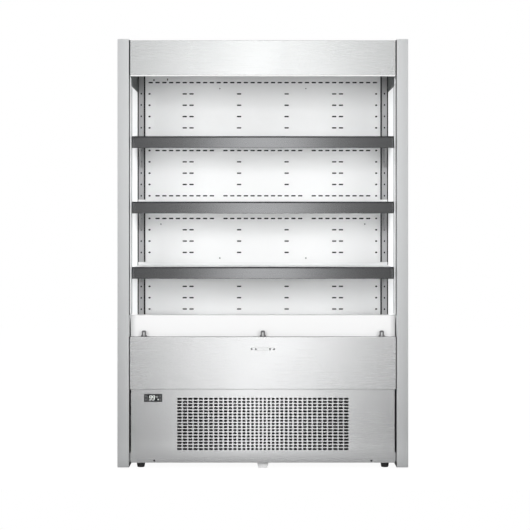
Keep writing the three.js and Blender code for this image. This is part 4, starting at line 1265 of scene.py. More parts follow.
# The display's small marks: right of and above its middle, width, height and light.
MARKS = (
    (0.0165, 0.0072, 0.0066, 0.0012, MARK_LIGHT),
    (0.0136, 0.0036, 0.0012, 0.0078, MARK_LIGHT),
    (0.0194, 0.0048, 0.0012, 0.0058, MARK_LIGHT),
    (0.0168, 0.0004, 0.0056, 0.0011, MARK_LIGHT),
    (0.0206, -0.0068, 0.0038, 0.0038, DIGIT_LIGHT),
    (-0.0222, 0.0065, 0.0016, 0.0016, MARK_LIGHT),
    (-0.0222, 0.0, 0.0016, 0.0016, MARK_LIGHT),
    (-0.0222, -0.0065, 0.0016, 0.0016, MARK_LIGHT),
)


@dataclass
class Controller:
    """Thermostat in the grille panel: bezel, window, digits and four keys."""

    digit_width: float = 0.0088
    digit_height: float = 0.0172
    stroke: float = 0.0022
    slant: float = 0.22
    digits_x: tuple[float, float] = (-0.0132, -0.0004)
    window: Size = (0.0475, 0.0255)
    flange: float = 0.0026
    key_gap: float = 0.0006
    middle: Point = field(init=False, default=(0.0, 0.0))
    front: float = field(init=False, default=0.0)

    def build(self) -> None:
        """Builds the controller."""
        x, y, z = extent("controller")
        self.middle = (centre_of(x), centre_of(z))
        self.front = y[0]
        self.bezel(x, y, z)
        self.display()
        for node in KEYS:
            self.key(node)

    def bezel(self, x: Span, y: Span, z: Span) -> None:
        """Flange with a recess for the window, and the body behind it.

        Args:
            x: The controller's span along X.
            y: The controller's span along Y.
            z: The controller's span along Z.
        """
        shape = Shape("controller_bezel")
        holes = []
        for node in KEYS:
            key_x, _, key_z = extent(node)
            holes.append(Hole((centre_of(key_x), centre_of(key_z)), key_x[1] - key_x[0] + self.key_gap,
                              key_z[1] - key_z[0] + self.key_gap, COARSE))
        holes.append(Hole(self.middle, *self.window, SQUARE))
        step = self.front + self.flange
        shape.plate(Axis.Y, box_outline(x, z), (self.front, step), BEZEL_PLASTIC, holes)
        inner = (x[0] + 0.0002, x[1] - 0.0002)
        for lip in ends(z, 0.0008):
            shape.block(inner, (self.front, self.front + 0.0012), lip, BEZEL_PLASTIC, 0.0003)
        body_x, body_z = ((low + 0.003, high - 0.003) for low, high in (x, z))
        shape.block(body_x, (step, y[1]), body_z, BLACK_PLASTIC, 0.001)
        shape.done("root", ["controller"])

    def display(self) -> None:
        """Smoked window with two digits and small marks."""
        shape = Shape("controller_display")
        u, v = self.middle
        level = self.front + 0.0014
        wide, tall = about(u, self.window[0]), about(v, self.window[1])
        shape.block(wide, (level, level + 0.0011), tall, GLASS_BLACK, 0.0003)
        for place in self.digits_x:
            self.digit(shape, u + place, v - self.digit_height / 2, level)
        depth = (level - 0.0005, level + 0.0003)
        for dx, dz, width, height, lit in MARKS:
            shape.block(about(u + dx, width), depth, about(v + dz, height), lit, 0.0002, 1)
        shape.done("root")

    def digit(self, shape: Shape, u: float, v: float, level: float) -> None:
        """One slanted digit of bars.

        Args:
            shape: The display.
            u: The digit's middle.
            v: Its foot.
            level: The window's front.
        """
        part = bmesh.new()
        for segment in NINE:
            across, up, flat = segment.value
            long = (self.digit_width if flat else self.digit_height / 2) - self.stroke * 0.6
            made = bmesh.ops.create_cube(part, size=1.0)["verts"]
            size = (long, 0.0008, self.stroke) if flat else (self.stroke, 0.0008, long)
            bmesh.ops.scale(part, vec=size, verts=made)
            bmesh.ops.translate(part, vec=(across * self.digit_width, 0, up * self.digit_height), verts=made)
        lean = Matrix(((1, 0, self.slant, 0), (0, 1, 0, 0), (0, 0, 1, 0), (0, 0, 0, 1)))
        place = Matrix.Translation((u, level - 0.0001, v))
        bmesh.ops.transform(part, matrix=place @ lean, verts=part.verts[:])
        shape.gather(part, DIGIT_LIGHT)

    def key(self, node: str) -> None:
        """A rubber key with a rounded cap.

        Args:
            node: The CAD key, which is also its body's name.
        """
        x, y, z = extent(node)
        shape = Shape(f"{node}_cap")
        shape.block(x, y, z, KEY_PLASTIC, 0.0006, 3)
        mark = about(centre_of(x), 0.0022), (y[0], y[0] + 0.0001), about(centre_of(z), 0.0004)
        shape.block(*mark, MARK_LIGHT)
        shape.done(node, [node])


@dataclass
class FrontPanel:
    """Lower front panel with its ledge and the pull plate."""

    sheet: float = 0.0012
    bend: float = 0.0022
    drop: float = 0.0035
    inset: float = 0.0008
    pull_z: float = 0.4962
    pull_half: float = 0.0335
    pull_tall: float = 0.0095
    pull_rim: float = 0.0009
    pull_proud: float = 0.0014
    pull_ends: Span = (0.0072, 0.0018)
    screw_x: float = 0.0462

    def build(self) -> None:
        """Builds the front panel."""
        x, y, z = extent("front_panel")
        x = (x[0] + self.inset, x[1] - self.inset)
        shape = Shape("front_panel_folded")
        low = z[0] - self.drop
        path = [(y[1], z[1] - 0.006), (y[1], z[1]), (y[0], z[1]), (y[0], low), (y[0] + 0.014, low)]
        shape.folded(path, x, self.sheet, PANEL_STEEL, self.bend)
        # painted shade: a dark strip on top of the ledge
        shape.block((x[0] + 0.002, x[1] - 0.002), (y[0] + 0.004, y[1]), (z[1], z[1] + 0.0003), LEDGE_SHADE_STEEL)
        for side, _ in SIDES:
            across = on_side(side, x[1] - OVERLAP, x[1] - OVERLAP - self.sheet)
            depth, tall = (y[0] + self.sheet, y[0] + 0.022), (z[0] + 0.001, z[1] - self.sheet)
            shape.block(across, depth, tall, PANEL_STEEL, 0.0003, 1)
            # painted shade in the gap beside the front panel
            gap_shade(shape, side, x[1], y[0], (z[0], z[1]))
        shape.done("root", ["front_panel"])
        self.pull(y[0])

    def pull(self, front: float) -> None:
        """Thin plate with dark ends between two screws, on a grey rim that paints the shade round its edge.

        Args:
            front: The panel's front face.
        """
        shape = Shape("pull_plate")
        proud = front - self.pull_proud
        tall = about(self.pull_z, self.pull_tall + 2 * self.pull_rim)
        # painted shade: a grey rim round the plate
        rim = box_outline(span(self.pull_half + self.pull_rim), tall)
        shape.plate(Axis.Y, rim, (proud + 0.0006, front), PULL_RIM_SHADE_STEEL, corner=0.0026)
        plate = box_outline(span(self.pull_half), about(self.pull_z, self.pull_tall))
        shape.plate(Axis.Y, plate, (proud, front), PANEL_STEEL, bevel=0.0004, corner=0.0022)
        for side, _ in SIDES:
            end = on_side(side, self.pull_half - self.pull_ends[0], self.pull_half - self.pull_ends[1])
            tall = about(self.pull_z, self.pull_tall * 0.62)
            shape.block(end, (proud - 0.0002, proud + 0.0006), tall, DARK_STEEL, 0.0002, 1)
            shape.screw((side * self.screw_x, front, self.pull_z), Axis.Y, 0.0036, DARK_STEEL)
        shape.done("root")


@dataclass
class Riser:
    """White riser behind the front panel, with its return grille and the blind catches at its foot."""

    sheet: float = 0.0018
    bend: float = 0.004
    depth: float = 0.02
    slots: int = 40
    slot: Size = (0.0145, 0.03)
    slot_margin: float = 0.01

    def build(self) -> None:
        """Builds the riser and the catches."""
        x, y, z = extent("riser")
        lip = extent("deck_pan")[2][0]
        front, back = y[0], y[0] + self.depth
        shape = Shape("riser_folded")
        path = [(back, lip + 0.004), (back, z[1]), (front, z[1]), (front, z[0])]
        shape.folded(path, x, self.sheet, RISER_PAINT, self.bend, 4)
        pitch = (x[1] - x[0] - 2 * self.slot_margin) / self.slots
        holes = [Hole((x[0] + self.slot_margin + pitch * (i + 0.5), (back + y[1]) / 2), *self.slot)
                 for i in range(self.slots)]
        shape.plate(Axis.Z, box_outline(x, (back, y[1])), (lip, lip + self.sheet), RISER_PAINT, holes)
        shape.done("root", ["riser"])
        for word in ("left", "centre", "right"):
            self.catch(f"blind_catch_{word}")

    def catch(self, node: str) -> None:
        """A pressed steel arch with flared feet that the blind bar hooks under.

        Args:
            node: The CAD catch.
        """
        x, y, z = extent(node)
        middle, half = centre_of(x), (x[1] - x[0]) / 2
        outline = [(-half, 0), (-0.0032, 0), (-0.0032, 0.0172), (0.0032, 0.0172), (0.0032, 0), (half, 0),
                   (half, 0.003), (0.0092, 0.009), (0.0088, 0.022), (0.0055, 0.025),
                   (-0.0055, 0.025), (-0.0088, 0.022), (-0.0092, 0.009), (-half, 0.003)]
        shape = Shape(f"{node}_pressed")
        shape.plate(Axis.Y, [(middle + u, z[0] + v) for u, v in outline], y, CATCH_STEEL, bevel=0.0006)
        shape.done("root", [node])


@dataclass
class BackWall:
    """Slotted back wall, and the slotted uprights with their dark channels; black sheets paint the shade
    behind the slots and in the corners.
    """

    face: float = 0.165
    edge: float = 0.519
    sheet: float = 0.001
    top_row: float = 1.635
    row_pitch: float = 0.05
    rows: int = 21
    full_rows: tuple[int, ...] = (6, 10, 12, 17)
    row_slots: tuple[int, int] = (17, 16)
    slot_left_out: int = 6
    slot: Size = (0.0195, 0.006)
    slot_pitch: float = 0.03
    sparse_slots: tuple[float, ...] = (0.105, 0.315, 0.345)
    row_end: float = 0.5005
    end_hole: Size = (0.0095, 0.007)
    corner_holes: tuple[tuple[Point, float, float], ...] = (
        ((-0.481, 1.6458), 0.0075, 0.0065),
        ((-0.421, 1.6485), 0.0045, 0.009),
    )
    lamp_hole: Place = (0.19, 1.6085, 0.005)
    screws: tuple[Point, ...] = ((0.19, 0.86), (0.45, 1.01))
    upright_sheet: float = 0.0018
    upright_slot: Size = (0.006, 0.008)
    corner_edge: float = 0.5474
    corner_foot: float = 0.6005

    def build(self) -> None:
        """Builds the wall and the uprights."""
        x, y, z = extent("back_wall")
        shape = Shape("back_wall_slotted")
        outline = box_outline(span(self.edge), (z[0] + 0.001, z[1]))
        shape.plate(Axis.Y, outline, (self.face, self.face + self.sheet), WALL_PAINT, self.wall_holes())
        shape.block(x, (y[0], y[0] + 0.002), (z[0], z[0] + 0.02), WALL_PAINT, 0.0005, 1)
        shape.block(x, (y[0], self.face + self.sheet), (z[0], z[0] + 0.0015), WALL_PAINT, 0.0004, 1)
        # painted shade: a black sheet behind the wall's slots stands for the dark duct
        shape.block(x, (self.face + 0.0018, self.face + 0.003), (z[0] + 0.002, z[1]), SHADE_BLACK)
        for side, _ in SIDES:
            for u, v in self.screws:
                shape.screw((side * u, self.face, v), Axis.Y, 0.0034, SCREW_STEEL)
        shape.done("root", ["back_wall"])
        for side, word in SIDES:
            self.upright(side, word)

    def wall_holes(self) -> list[Hole]:
        """Every slot and hole of the wall.

        Returns:
            The holes.
        """
        holes = [Hole(*hole, COARSE) for hole in self.corner_holes]
        u, v, size = self.lamp_hole
        holes += [Hole((side * u, v), size, size, COARSE) for side, _ in SIDES]
        for k in range(self.rows):
            v = self.top_row - k * self.row_pitch
            if k == 0:
                places = [self.slot_pitch * (i + 0.5) for i in range(self.row_slots[0])]
            elif k in self.full_rows:
                places = [self.slot_pitch * (i + 0.5) for i in range(self.row_slots[1])
                          if i != self.slot_left_out]
            else:
                places = self.sparse_slots
            for u in places:
                holes += [Hole((side * u, v), *self.slot, COARSE) for side, _ in SIDES]
            if k:
                holes += [Hole((side * self.row_end, v), *self.end_hole, COARSE) for side, _ in SIDES]
        return holes

    def upright(self, side: int, word: str) -> None:
        """Slotted channel that the shelf brackets hook into.

        Args:
            side: -1 or 1.
            word: left or right.
        """
        node = f"upright_{word}"
        x, y, z = extent(node)
        holes = [Hole((centre_of(x), self.top_row - k * self.row_pitch), *self.upright_slot, COARSE)
                 for k in range(1, self.rows)]
        front = y[0] + self.upright_sheet
        shape = Shape(f"upright_{word}_slotted")
        shape.plate(Axis.Y, box_outline(x, z), (y[0], front), UPRIGHT_PAINT, holes)
        for wall in ends(x, self.upright_sheet):
            shape.block(wall, (front, y[1]), z, UPRIGHT_PAINT)
        inner = (x[0] + self.upright_sheet, x[1] - self.upright_sheet)
        # painted shade: a black strip inside the channel, behind its slots
        shape.block(inner, (y[0] + 0.0105, y[0] + 0.0115), z, SHADE_BLACK)
        # painted shade: a black block fills the corner between the upright and the side liner
        corner = on_side(side, self.corner_edge, LINER_FACE)
        shape.block(corner, (y[0], self.face - 0.0005), (self.corner_foot, z[1] - 0.001), SHADE_BLACK)
        shape.done("root", [node])


@dataclass
class Shelf:
    """A shelf: folded tray, price strip along its front and two hooked brackets."""

    word: str
    sheet: float = 0.0012
    bend: float = 0.0022
    upstand: float = 0.014
    flange: float = 0.026
    stiffeners: tuple[float, ...] = (-0.07, 0.045)
    strip_rise: float = 0.0025
    strip_drop: float = 0.001
    heel: float = 0.1485
    bracket_heel: float = 0.118
    bracket_front: float = 0.02

    def build(self) -> None:
        """Builds the shelf."""
        self.tray()
        self.strip()
        for _, hand in SIDES:
            self.bracket(hand)

    def tray(self) -> None:
        """The tray, with a front lip, a rear upstand, side flanges and two stiffeners."""
        node = f"shelf_tray_{self.word}"
        x, y, z = extent(node)
        top = z[1] - self.upstand
        shape = Shape(f"shelf_{self.word}_tray")
        path = [(y[1], z[1]), (y[1], top), (y[0], top), (y[0], z[0]), (y[0] + 0.012, z[0])]
        inner = (x[0] + self.sheet, x[1] - self.sheet)
        shape.folded(path, inner, self.sheet, SHELF_PAINT, self.bend)
        for side, _ in SIDES:
            wall = on_side(side, x[1], inner[1])
            shape.block(wall, (y[0] + 0.001, y[1]), (top - self.flange, top), SHELF_PAINT, 0.0005, 1)
        for v in self.stiffeners:
            under = (top - 0.012, top - self.sheet)
            shape.block((x[0] + 0.03, x[1] - 0.03), about(v, 0.03), under, SHELF_PAINT, 0.002)
        shape.done(f"shelf_{self.word}", [node])

    def strip(self) -> None:
        """The price strip, with a dark lip along its top and a thin one along its bottom."""
        node = f"price_strip_{self.word}"
        x, (front, back), z = extent(node)
        low, high = z[0] - self.strip_drop, z[1] + self.strip_rise
        face = front + 0.0016
        plate = box_outline((face, back), (low + 0.001, high - 0.003))
        top_lip = [(front, high - 0.006), (face + 0.0006, high - 0.0052), (back, high - 0.003), (back, high),
                   (front + 0.0012, high), (front, high - 0.0012)]
        bottom_lip = [(front + 0.0006, low), (back, low), (back, low + 0.0012), (front, low + 0.0012)]
        shape = Shape(f"shelf_{self.word}_price_strip")
        shape.plate(Axis.X, plate, x, STRIP_STEEL)
        for lip in (top_lip, bottom_lip):
            shape.plate(Axis.X, lip, x, BLACK_LINE, bevel=0.0003)
        for cap in ends(x, 0.002):
            shape.block(cap, (front + 0.0003, back), (low + 0.0008, high - 0.0008), BLACK_PLASTIC, 0.0004, 1)
        shape.done(f"shelf_{self.word}", [node])

    def bracket(self, hand: str) -> None:
        """A tapered bracket, hooked into the upright's slots.

        Args:
            hand: left or right.
        """
        node = f"shelf_bracket_{self.word}_{hand}"
        x, y, z = extent(node)
        heel, top, low = self.heel, z[1], z[1] - self.bracket_heel
        outline = [(y[0], top), (y[0], top - 0.018), (self.bracket_front, top - 0.038),
                   (heel - 0.014, low), (heel, low), (heel, top)]
        hole = Hole((0.11, top - 0.03), 0.008, 0.008)
        shape = Shape(f"shelf_{self.word}_bracket_{hand}")
        shape.plate(Axis.X, outline, x, BRACKET_PAINT, [hole], bevel=0.0005)
        for foot in (top - 0.018, low + 0.006):
            hook = [(heel - 0.001, foot), (heel + 0.0045, foot), (heel + 0.0045, foot - 0.004),
                    (y[1], foot - 0.004), (y[1], foot + 0.012), (heel - 0.001, foot + 0.012)]
            shape.plate(Axis.X, hook, about(centre_of(x), 0.0022), ZINC)
        shape.done("root", [node])


@dataclass
class Canopy:
    """Stainless canopy, its ceiling, lamp and air outlet."""

    sheet: float = 0.0012
    lip: Size = (0.0135, 0.0115)
    under: float = 1.6648
    lamp_half: float = 0.5
    diffuser_half: float = 0.49
    outlet_wall: float = 0.0022
    cell_wall: float = 0.0007
    bend: float = 0.003
    hem: float = 0.0052
    hem_drop: float = 0.0035
    inset: float = 0.002
    cells_across: int = 170
    cells_deep: int = 7

    def build(self) -> None:
        """Builds the canopy."""
        x, y, z = extent("canopy_front")
        x = (x[0] + self.inset, x[1] - self.inset)
        shape = Shape("canopy_folded")
        turned_in = y[0] + self.lip[0]
        path = [(y[1], z[1] - 0.008), (y[1], z[1]), (y[0], z[1]), (y[0], z[0]),
                (turned_in, z[0]), (turned_in, z[0] + self.lip[1])]
        shape.folded(path, x, self.sheet, CANOPY_STEEL, self.bend, 4)
        # painted highlight: a near-white hem along the canopy's lower edge
        low = z[0] - self.hem_drop
        hem = [(y[0] + 0.003, low), (y[0] + 0.003, low + self.hem), (y[0], low + self.hem),
               (y[0] - 0.0018, low + 0.001), (y[0] - 0.0016, low)]
        shape.plate(Axis.X, hem, (x[0] + 0.001, x[1] - 0.001), HEM_HIGHLIGHT_STEEL)
        for side, _ in SIDES:
            # painted shade in the gap beside the canopy
            gap_shade(shape, side, x[1], y[0], z)
            wall = on_side(side, x[1], x[1] - self.sheet)
            depth, tall = (y[0] + 0.0013, y[0] + 0.03), (z[0] + 0.0013, z[1] - 0.0013)
            shape.block(wall, depth, tall, CANOPY_STEEL, 0.0003, 1)
        shape.done("root", ["canopy_front"])
        carry(CEILING_PAINT, "canopy_ceiling")
        self.lamp()
        self.outlet()

    def lamp(self) -> None:
        """Lamp batten under the ceiling, behind the outlet."""
        shape = Shape("canopy_lamp")
        under = self.under
        shape.block(span(self.lamp_half), (-0.166, -0.146), (under - 0.006, under), TUBE_METAL, 0.001)
        lens = (under - 0.0135, under - 0.006)
        shape.block(span(self.diffuser_half), (-0.163, -0.149), lens, LAMP_LIGHT, 0.0035, 3)
        for side, _ in SIDES:
            cap = on_side(side, self.diffuser_half, self.lamp_half)
            shape.block(cap, (-0.165, -0.147), (under - 0.0145, under), WHITE_PAINT, 0.001)
        shape.done("root")

    def outlet(self) -> None:
        """Air outlet: a moulded frame round a comb of thin cells."""
        x, y, z = extent("air_outlet")
        shape = Shape("air_outlet_comb")
        wall = self.outlet_wall
        for rail in ends(y, wall):
            shape.block(x, rail, z, OUTLET_PLASTIC, 0.0005, 1)
        inner_y = (y[0] + wall, y[1] - wall)
        for i in range(self.cells_across + 1):
            u = x[0] + (x[1] - x[0]) * i / self.cells_across
            thick = wall if i in (0, self.cells_across) else self.cell_wall
            across = about(min(max(u, x[0] + thick / 2), x[1] - thick / 2), thick)
            shape.block(across, inner_y, (z[0] + 0.001, z[1] - 0.001), OUTLET_PLASTIC)
        for i in range(1, self.cells_deep):
            v = inner_y[0] + (inner_y[1] - inner_y[0]) * i / self.cells_deep
            along = (x[0] + wall, x[1] - wall)
            shape.block(along, about(v, self.cell_wall), (z[0] + 0.0012, z[1] - 0.0012), OUTLET_PLASTIC)
        shape.done("root", ["air_outlet"])


@dataclass
class NightBlind:
    """Night blind: cassette, roller with its wound cloth, the drop of cloth and the bottom bar."""

    cloth_columns: int = 32
    cloth_rows: int = 24
    cloth_bend: float = 1.69
    wall: float = 0.004
    groove: float = 0.008
    cap: float = 0.0035

    def build(self) -> None:
        """Builds the blind."""
        carry(ZINC, "blind_cassette")
        self.roller()
        self.bar()
        self.cloth()

    def roller(self) -> None:
        """Tube with wound cloth and a pin at each end."""
        x, y, z = extent("blind_roller")
        centre = (0.0, centre_of(y), centre_of(z))
        radius = (y[1] - y[0]) / 2
        shape = Shape("blind_roller_wound")
        pin, tube, wound = radius * 0.3, radius * 0.86, radius * 0.97
        profile = [(0, x[0]), (pin, x[0]), (pin, -0.536), (tube, -0.536), (tube, -0.5305), (wound, -0.53),
                   (radius, -0.5285), (radius, 0.5285), (wound, 0.53), (tube, 0.5305), (tube, 0.536),
                   (pin, 0.536), (pin, x[1]), (0, x[1])]
        shape.turned(profile, centre, Axis.X, TUBE_METAL, 40)
        seam = (centre[2] + radius * 0.93, centre[2] + radius * 0.985)
        shape.block((-0.52, 0.52), (centre[1] - 0.001, centre[1] + 0.001), seam, TUBE_METAL, 0.0003, 1)
        shape.done("blind_roller", ["blind_roller"])

    def bar(self) -> None:
        """Grooved bottom bar with end caps."""
        x, y, z = extent("blind_bar")
        shape = Shape("blind_bar_drawn")
        near, far, roof = y[0] + self.wall, y[1] - self.wall, z[0] + self.groove
        outline = [(y[0], z[0]), (near, z[0]), (near, roof), (far, roof), (far, z[0]), (y[1], z[0]),
                   (y[1], z[1] - 0.004), (y[1] - 0.003, z[1]), (y[0] + 0.003, z[1]), (y[0], z[1] - 0.004)]
        shape.plate(Axis.X, outline, (x[0] + self.cap, x[1] - self.cap), TUBE_METAL, bevel=0.0003)
        for cap in ends(x, self.cap):
            shape.block(cap, y, z, BLACK_PLASTIC, 0.0008)
        shape.done("blind_bar", ["blind_bar"])

    def cloth(self) -> None:
        """The short drop of cloth between the roller and the bar, one sheet with a weave map."""
        x, y, z = extent("blind_cloth")
        part = bmesh.new()
        grid = bmesh.ops.create_grid(part, x_segments=self.cloth_columns, y_segments=self.cloth_rows,
                                     size=0.5, calc_uvs=False)["verts"]
        bmesh.ops.scale(part, vec=(x[1] - x[0], z[1] - z[0], 1), verts=grid)
        bmesh.ops.rotate(part, cent=(0, 0, 0), matrix=Matrix.Rotation(math.pi / 2, 3, "X"), verts=grid)
        bmesh.ops.translate(part, vec=(0, centre_of(y), centre_of(z)), verts=grid)
        threads = part.loops.layers.uv.new("Threads")
        for face in part.faces:
            for loop in face.loops:
                loop[threads].uv = (loop.vert.co.x, loop.vert.co.z)
        shape = Shape("blind_cloth_drop")
        shape.flats = False
        shape.gather(part, NIGHT_CLOTH, whole=False)
        piece = shape.done(None, ["blind_cloth"])
        hang = centre_of(y)
        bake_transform(piece)


@dataclass
class Coil:
    """A finned coil: thin plates on rows of copper tube, between two end plates."""

    node: str
    fins: int
    tubes: tuple[int, int]
    end: float = 0.012
    plate: float = 0.0015
    fin: float = 0.0006
    tube_radius: float = 0.0048
    bend: float = 0.0085

    def build(self) -> None:
        """Builds the coil in its CAD node's place."""
        x, y, z = extent(self.node)
        shape = Shape(f"{self.node}_finned")
        for plate in ends((x[0] + self.end, x[1] - self.end), self.plate):
            shape.block(plate, y, z, ZINC, 0.0004, 1)
        inner = (x[0] + self.end + 0.003, x[1] - self.end - 0.003)
        fin_y, fin_z = ((low + 0.0015, high - 0.0015) for low, high in (y, z))
        for i in range(self.fins):
            u = inner[0] + (inner[1] - inner[0]) * i / (self.fins - 1)
            shape.block(about(u, self.fin), fin_y, fin_z, FIN_METAL)
        depth, height = y[1] - y[0], z[1] - z[0]
        levels, banks = self.tubes if depth > height else self.tubes[::-1]
        for i in range(banks):
            v = y[0] + depth * (i + 0.5) / banks
            for j in range(levels):
                w = z[0] + height * (j + 0.5) / levels
                self.tube(shape, x, (v, w))
                if j + 1 < levels:
                    edge = about(x[1] - 0.006 if (i + j) % 2 else x[0] + 0.006, self.bend)
                    shape.block(edge, about(v, self.bend), (w, w + height / levels), COPPER, 0.0035, 3)
        shape.done("root", [self.node])

    def tube(self, shape: Shape, x: Span, place: Point) -> None:
        """One straight run of tube.

        Args:
            shape: The coil's piece.
            x: The coil's span along X.
            place: The tube's (y, z).
        """
        low, high = x[0] + 0.001, x[1] - 0.001
        profile = [(0, low), (self.tube_radius, low), (self.tube_radius, high), (0, high)]
        shape.turned(profile, (0, *place), Axis.X, COPPER, 12)


@dataclass
class Well:
    """Insulated well, fan deck, evaporator and the lift-out deck pan."""

    coil: Coil = field(default_factory=lambda: Coil("evaporator_coil", 150, (3, 7)))
    guard_rings: tuple[float, ...] = (0.018, 0.033, 0.048, 0.063, 0.079)
    guard_spokes: int = 3
    guard_reach: float = 0.084
    guard_gap: float = 0.0062
    fan_z: float = 0.494
    drain: Place = (0.47, 0.0, 0.388)

    def build(self) -> None:
        """Builds the well and what stands in it."""
        carry(WHITE_PAINT, "base_well")
        carry(ZINC, "fan_deck")
        carry(WHITE_PAINT, "deck_pan")
        self.coil.build()
        for _, word in SIDES:
            carry(BLACK_PLASTIC, f"evaporator_fan_{word}")
            self.finger_guard(word)
        self.grommet()

    def finger_guard(self, word: str) -> None:
        """Wire guard in front of an evaporator fan.

        Args:
            word: left or right.
        """
        across = extent(f"evaporator_fan_{word}")[0]
        middle = Vector((centre_of(across), extent("fan_deck")[1][0] - self.guard_gap, self.fan_z))
        shape = Shape(f"evaporator_guard_{word}")
        for radius in self.guard_rings:
            shape.wire_ring(middle, radius, 0.0011)
        for i in range(self.guard_spokes):
            turn = math.pi * (i / self.guard_spokes + 1 / 12)
            reach = Vector((math.cos(turn), 0, math.sin(turn))) * self.guard_reach
            shape.tube([middle - reach, middle, middle + reach], 0.0012, SCREW_STEEL, 1)
        shape.done("root")

    def grommet(self) -> None:
        """Rubber grommet round the well's drain."""
        shape = Shape("drain_grommet")
        ring = [(0.0125, 0.0002), (0.0185, 0.0002), (0.0185, 0.0018), (0.0165, 0.003), (0.0138, 0.003),
                (0.0125, 0.0018)]
        shape.turned(ring, self.drain, Axis.Z, SEAL_RUBBER, 32, ring=True)
        shape.done("root")


@dataclass
class Machine:
    """Condensing unit, evaporation tray, electrical box, rear panel and gland."""

    coil: Coil = field(default_factory=lambda: Coil("condenser_coil", 90, (2, 8)))
    shell: Place = (0.19, 0.06, 0.0823)
    shell_size: Size = (0.082, 0.18)
    shell_steps: int = 48
    plate_z: Span = (0.0803, 0.0843)
    pipe: float = 0.005
    port: Point = (0.0603, -0.232)
    fan_centre: Place = (-0.135, -0.118, 0.1748)
    guard_rings: tuple[float, ...] = (0.046, 0.062, 0.078, 0.094)
    guard_spokes: int = 4
    guard_reach: Span = (0.044, 0.1)
    tray_corner: float = 0.014
    tray_wall: float = 0.0032
    louvres: int = 8
    louvre_x: float = 0.165
    louvre_width: float = 0.218
    louvre_pitch: float = 0.024
    gland_ribs: int = 12

    def build(self) -> None:
        """Builds the machine compartment."""
        carry(BLACK_PAINT, "fan_shroud")
        carry(BLACK_PLASTIC, "condenser_fan")
        self.coil.build()
        self.compressor()
        self.guard()
        self.tray()
        self.box()
        self.rear()
        self.gland()

    def compressor(self) -> None:
        """Welded compressor shell on its feet, with copper pipes."""
        floor, top = extent("compressor")[2]
        u, v, lift = self.shell
        r, h = self.shell_size
        shape = Shape("compressor_shell")
        profile = [(0, 0), (r * 0.6, h * 0.03), (r * 0.84, h * 0.075), (r * 0.95, h * 0.15), (r, h * 0.25),
                   (r, h * 0.475), (r + 0.004, h * 0.48), (r + 0.004, h * 0.53), (r, h * 0.535), (r, h * 0.7),
                   (r * 0.96, h * 0.79), (r * 0.88, h * 0.87), (r * 0.74, h * 0.93), (r * 0.5, h * 0.975),
                   (0, h)]
        shape.turned(profile, self.shell, Axis.Z, BLACK_PAINT, self.shell_steps)
        plate = box_outline(about(u, 0.2), about(v, 0.12))
        shape.plate(Axis.Z, plate, self.plate_z, BLACK_PAINT, bevel=0.0008, corner=0.014)
        foot = [(0, 0), (0.0125, 0), (0.0135, 0.003), (0.0105, 0.006), (0.0135, 0.009), (0.0115, 0.0158),
                (0, 0.0158)]
        for du in (-0.08, 0.08):
            for dv in (-0.042, 0.042):
                shape.turned(foot, (u + du, v + dv, floor), Axis.Z, SEAL_RUBBER, 24)
                shape.screw((u + du, v + dv, self.plate_z[1]), Axis.Z, 0.006, SCREW_STEEL, 1)
        port_x, port_y = self.port
        port_z = top - 0.08
        discharge = [(0.115, v, lift + h * 0.62), (0.098, v, lift + h * 0.62), (0.088, 0.03, lift + h * 0.7),
                     (0.09, -0.06, port_z + 0.005), (0.092, -0.16, port_z), (0.092, port_y, port_z),
                     (port_x + 0.002, port_y, port_z)]
        shape.tube(discharge, self.pipe, COPPER, 3)
        suction = [(0.265, v, lift + h * 0.36), (0.292, v, lift + h * 0.37), (0.298, v, lift + h * 0.5),
                   (0.298, v, top - 0.03), (0.298, v, top)]
        shape.tube(suction, self.pipe + 0.0015, COPPER, 3)
        terminals = (lift + h * 0.3, lift + h * 0.66)
        shape.block((0.16, 0.22), (-0.034, -0.018), terminals, BLACK_PLASTIC, 0.004, 3)
        shape.done("root", ["compressor"])

    def guard(self) -> None:
        """Wire guard behind the condenser fan."""
        centre = Vector(self.fan_centre)
        shape = Shape("condenser_fan_guard")
        for radius in self.guard_rings:
            shape.wire_ring(centre, radius, 0.0012)
        for i in range(self.guard_spokes):
            turn = math.pi * (i / self.guard_spokes + 1 / 8)
            spoke = Vector((math.cos(turn), 0, math.sin(turn)))
            for way in (-1, 1):
                near, far = (centre + spoke * reach * way for reach in self.guard_reach)
                foot = far + Vector((0, -0.0345, 0)) + (far - centre) * 0.06
                shape.tube([near, far, foot], 0.0014, SCREW_STEEL, 1)
        shape.done("root")

    def tray(self) -> None:
        """Moulded evaporation tray with rounded corners."""
        x, y, z = extent("evaporation_tray")
        shape = Shape("evaporation_tray_moulded")
        part = box_part(x, y, z)
        upright = [edge for edge in part.edges if rise(edge) > 0.01]
        round_edges(part, upright, self.tray_corner, 5, clamp=False)
        lid = [face for face in part.faces if face.normal.z > 0.9]
        bmesh.ops.inset_region(part, faces=lid, thickness=self.tray_wall, use_even_offset=True)
        sunk = [vert for face in lid for vert in face.verts]
        bmesh.ops.translate(part, vec=(0, 0, z[0] - z[1] + self.tray_wall), verts=sunk)
        shape.gather(part, BLACK_PLASTIC)
        shape.done("root", ["evaporation_tray"])

    def box(self) -> None:
        """Electrical box with a lid and its screws."""
        x, y, z = extent("electrical_box")
        shape = Shape("electrical_box_lidded")
        shape.block(x, (y[0], y[1] - 0.003), z, ZINC, 0.0015)
        lid_x, lid_z = ((low + 0.0005, high - 0.0005) for low, high in (x, z))
        shape.block(lid_x, (y[1] - 0.003, y[1] - 0.0012), lid_z, ZINC, 0.0008)
        for u in (x[0] + 0.012, x[1] - 0.012):
            for w in (z[0] + 0.014, z[1] - 0.014):
                shape.screw((u, y[1] - 0.0018, w), Axis.Y, 0.0032, SCREW_STEEL, 1)
        shape.done("root", ["electrical_box"])

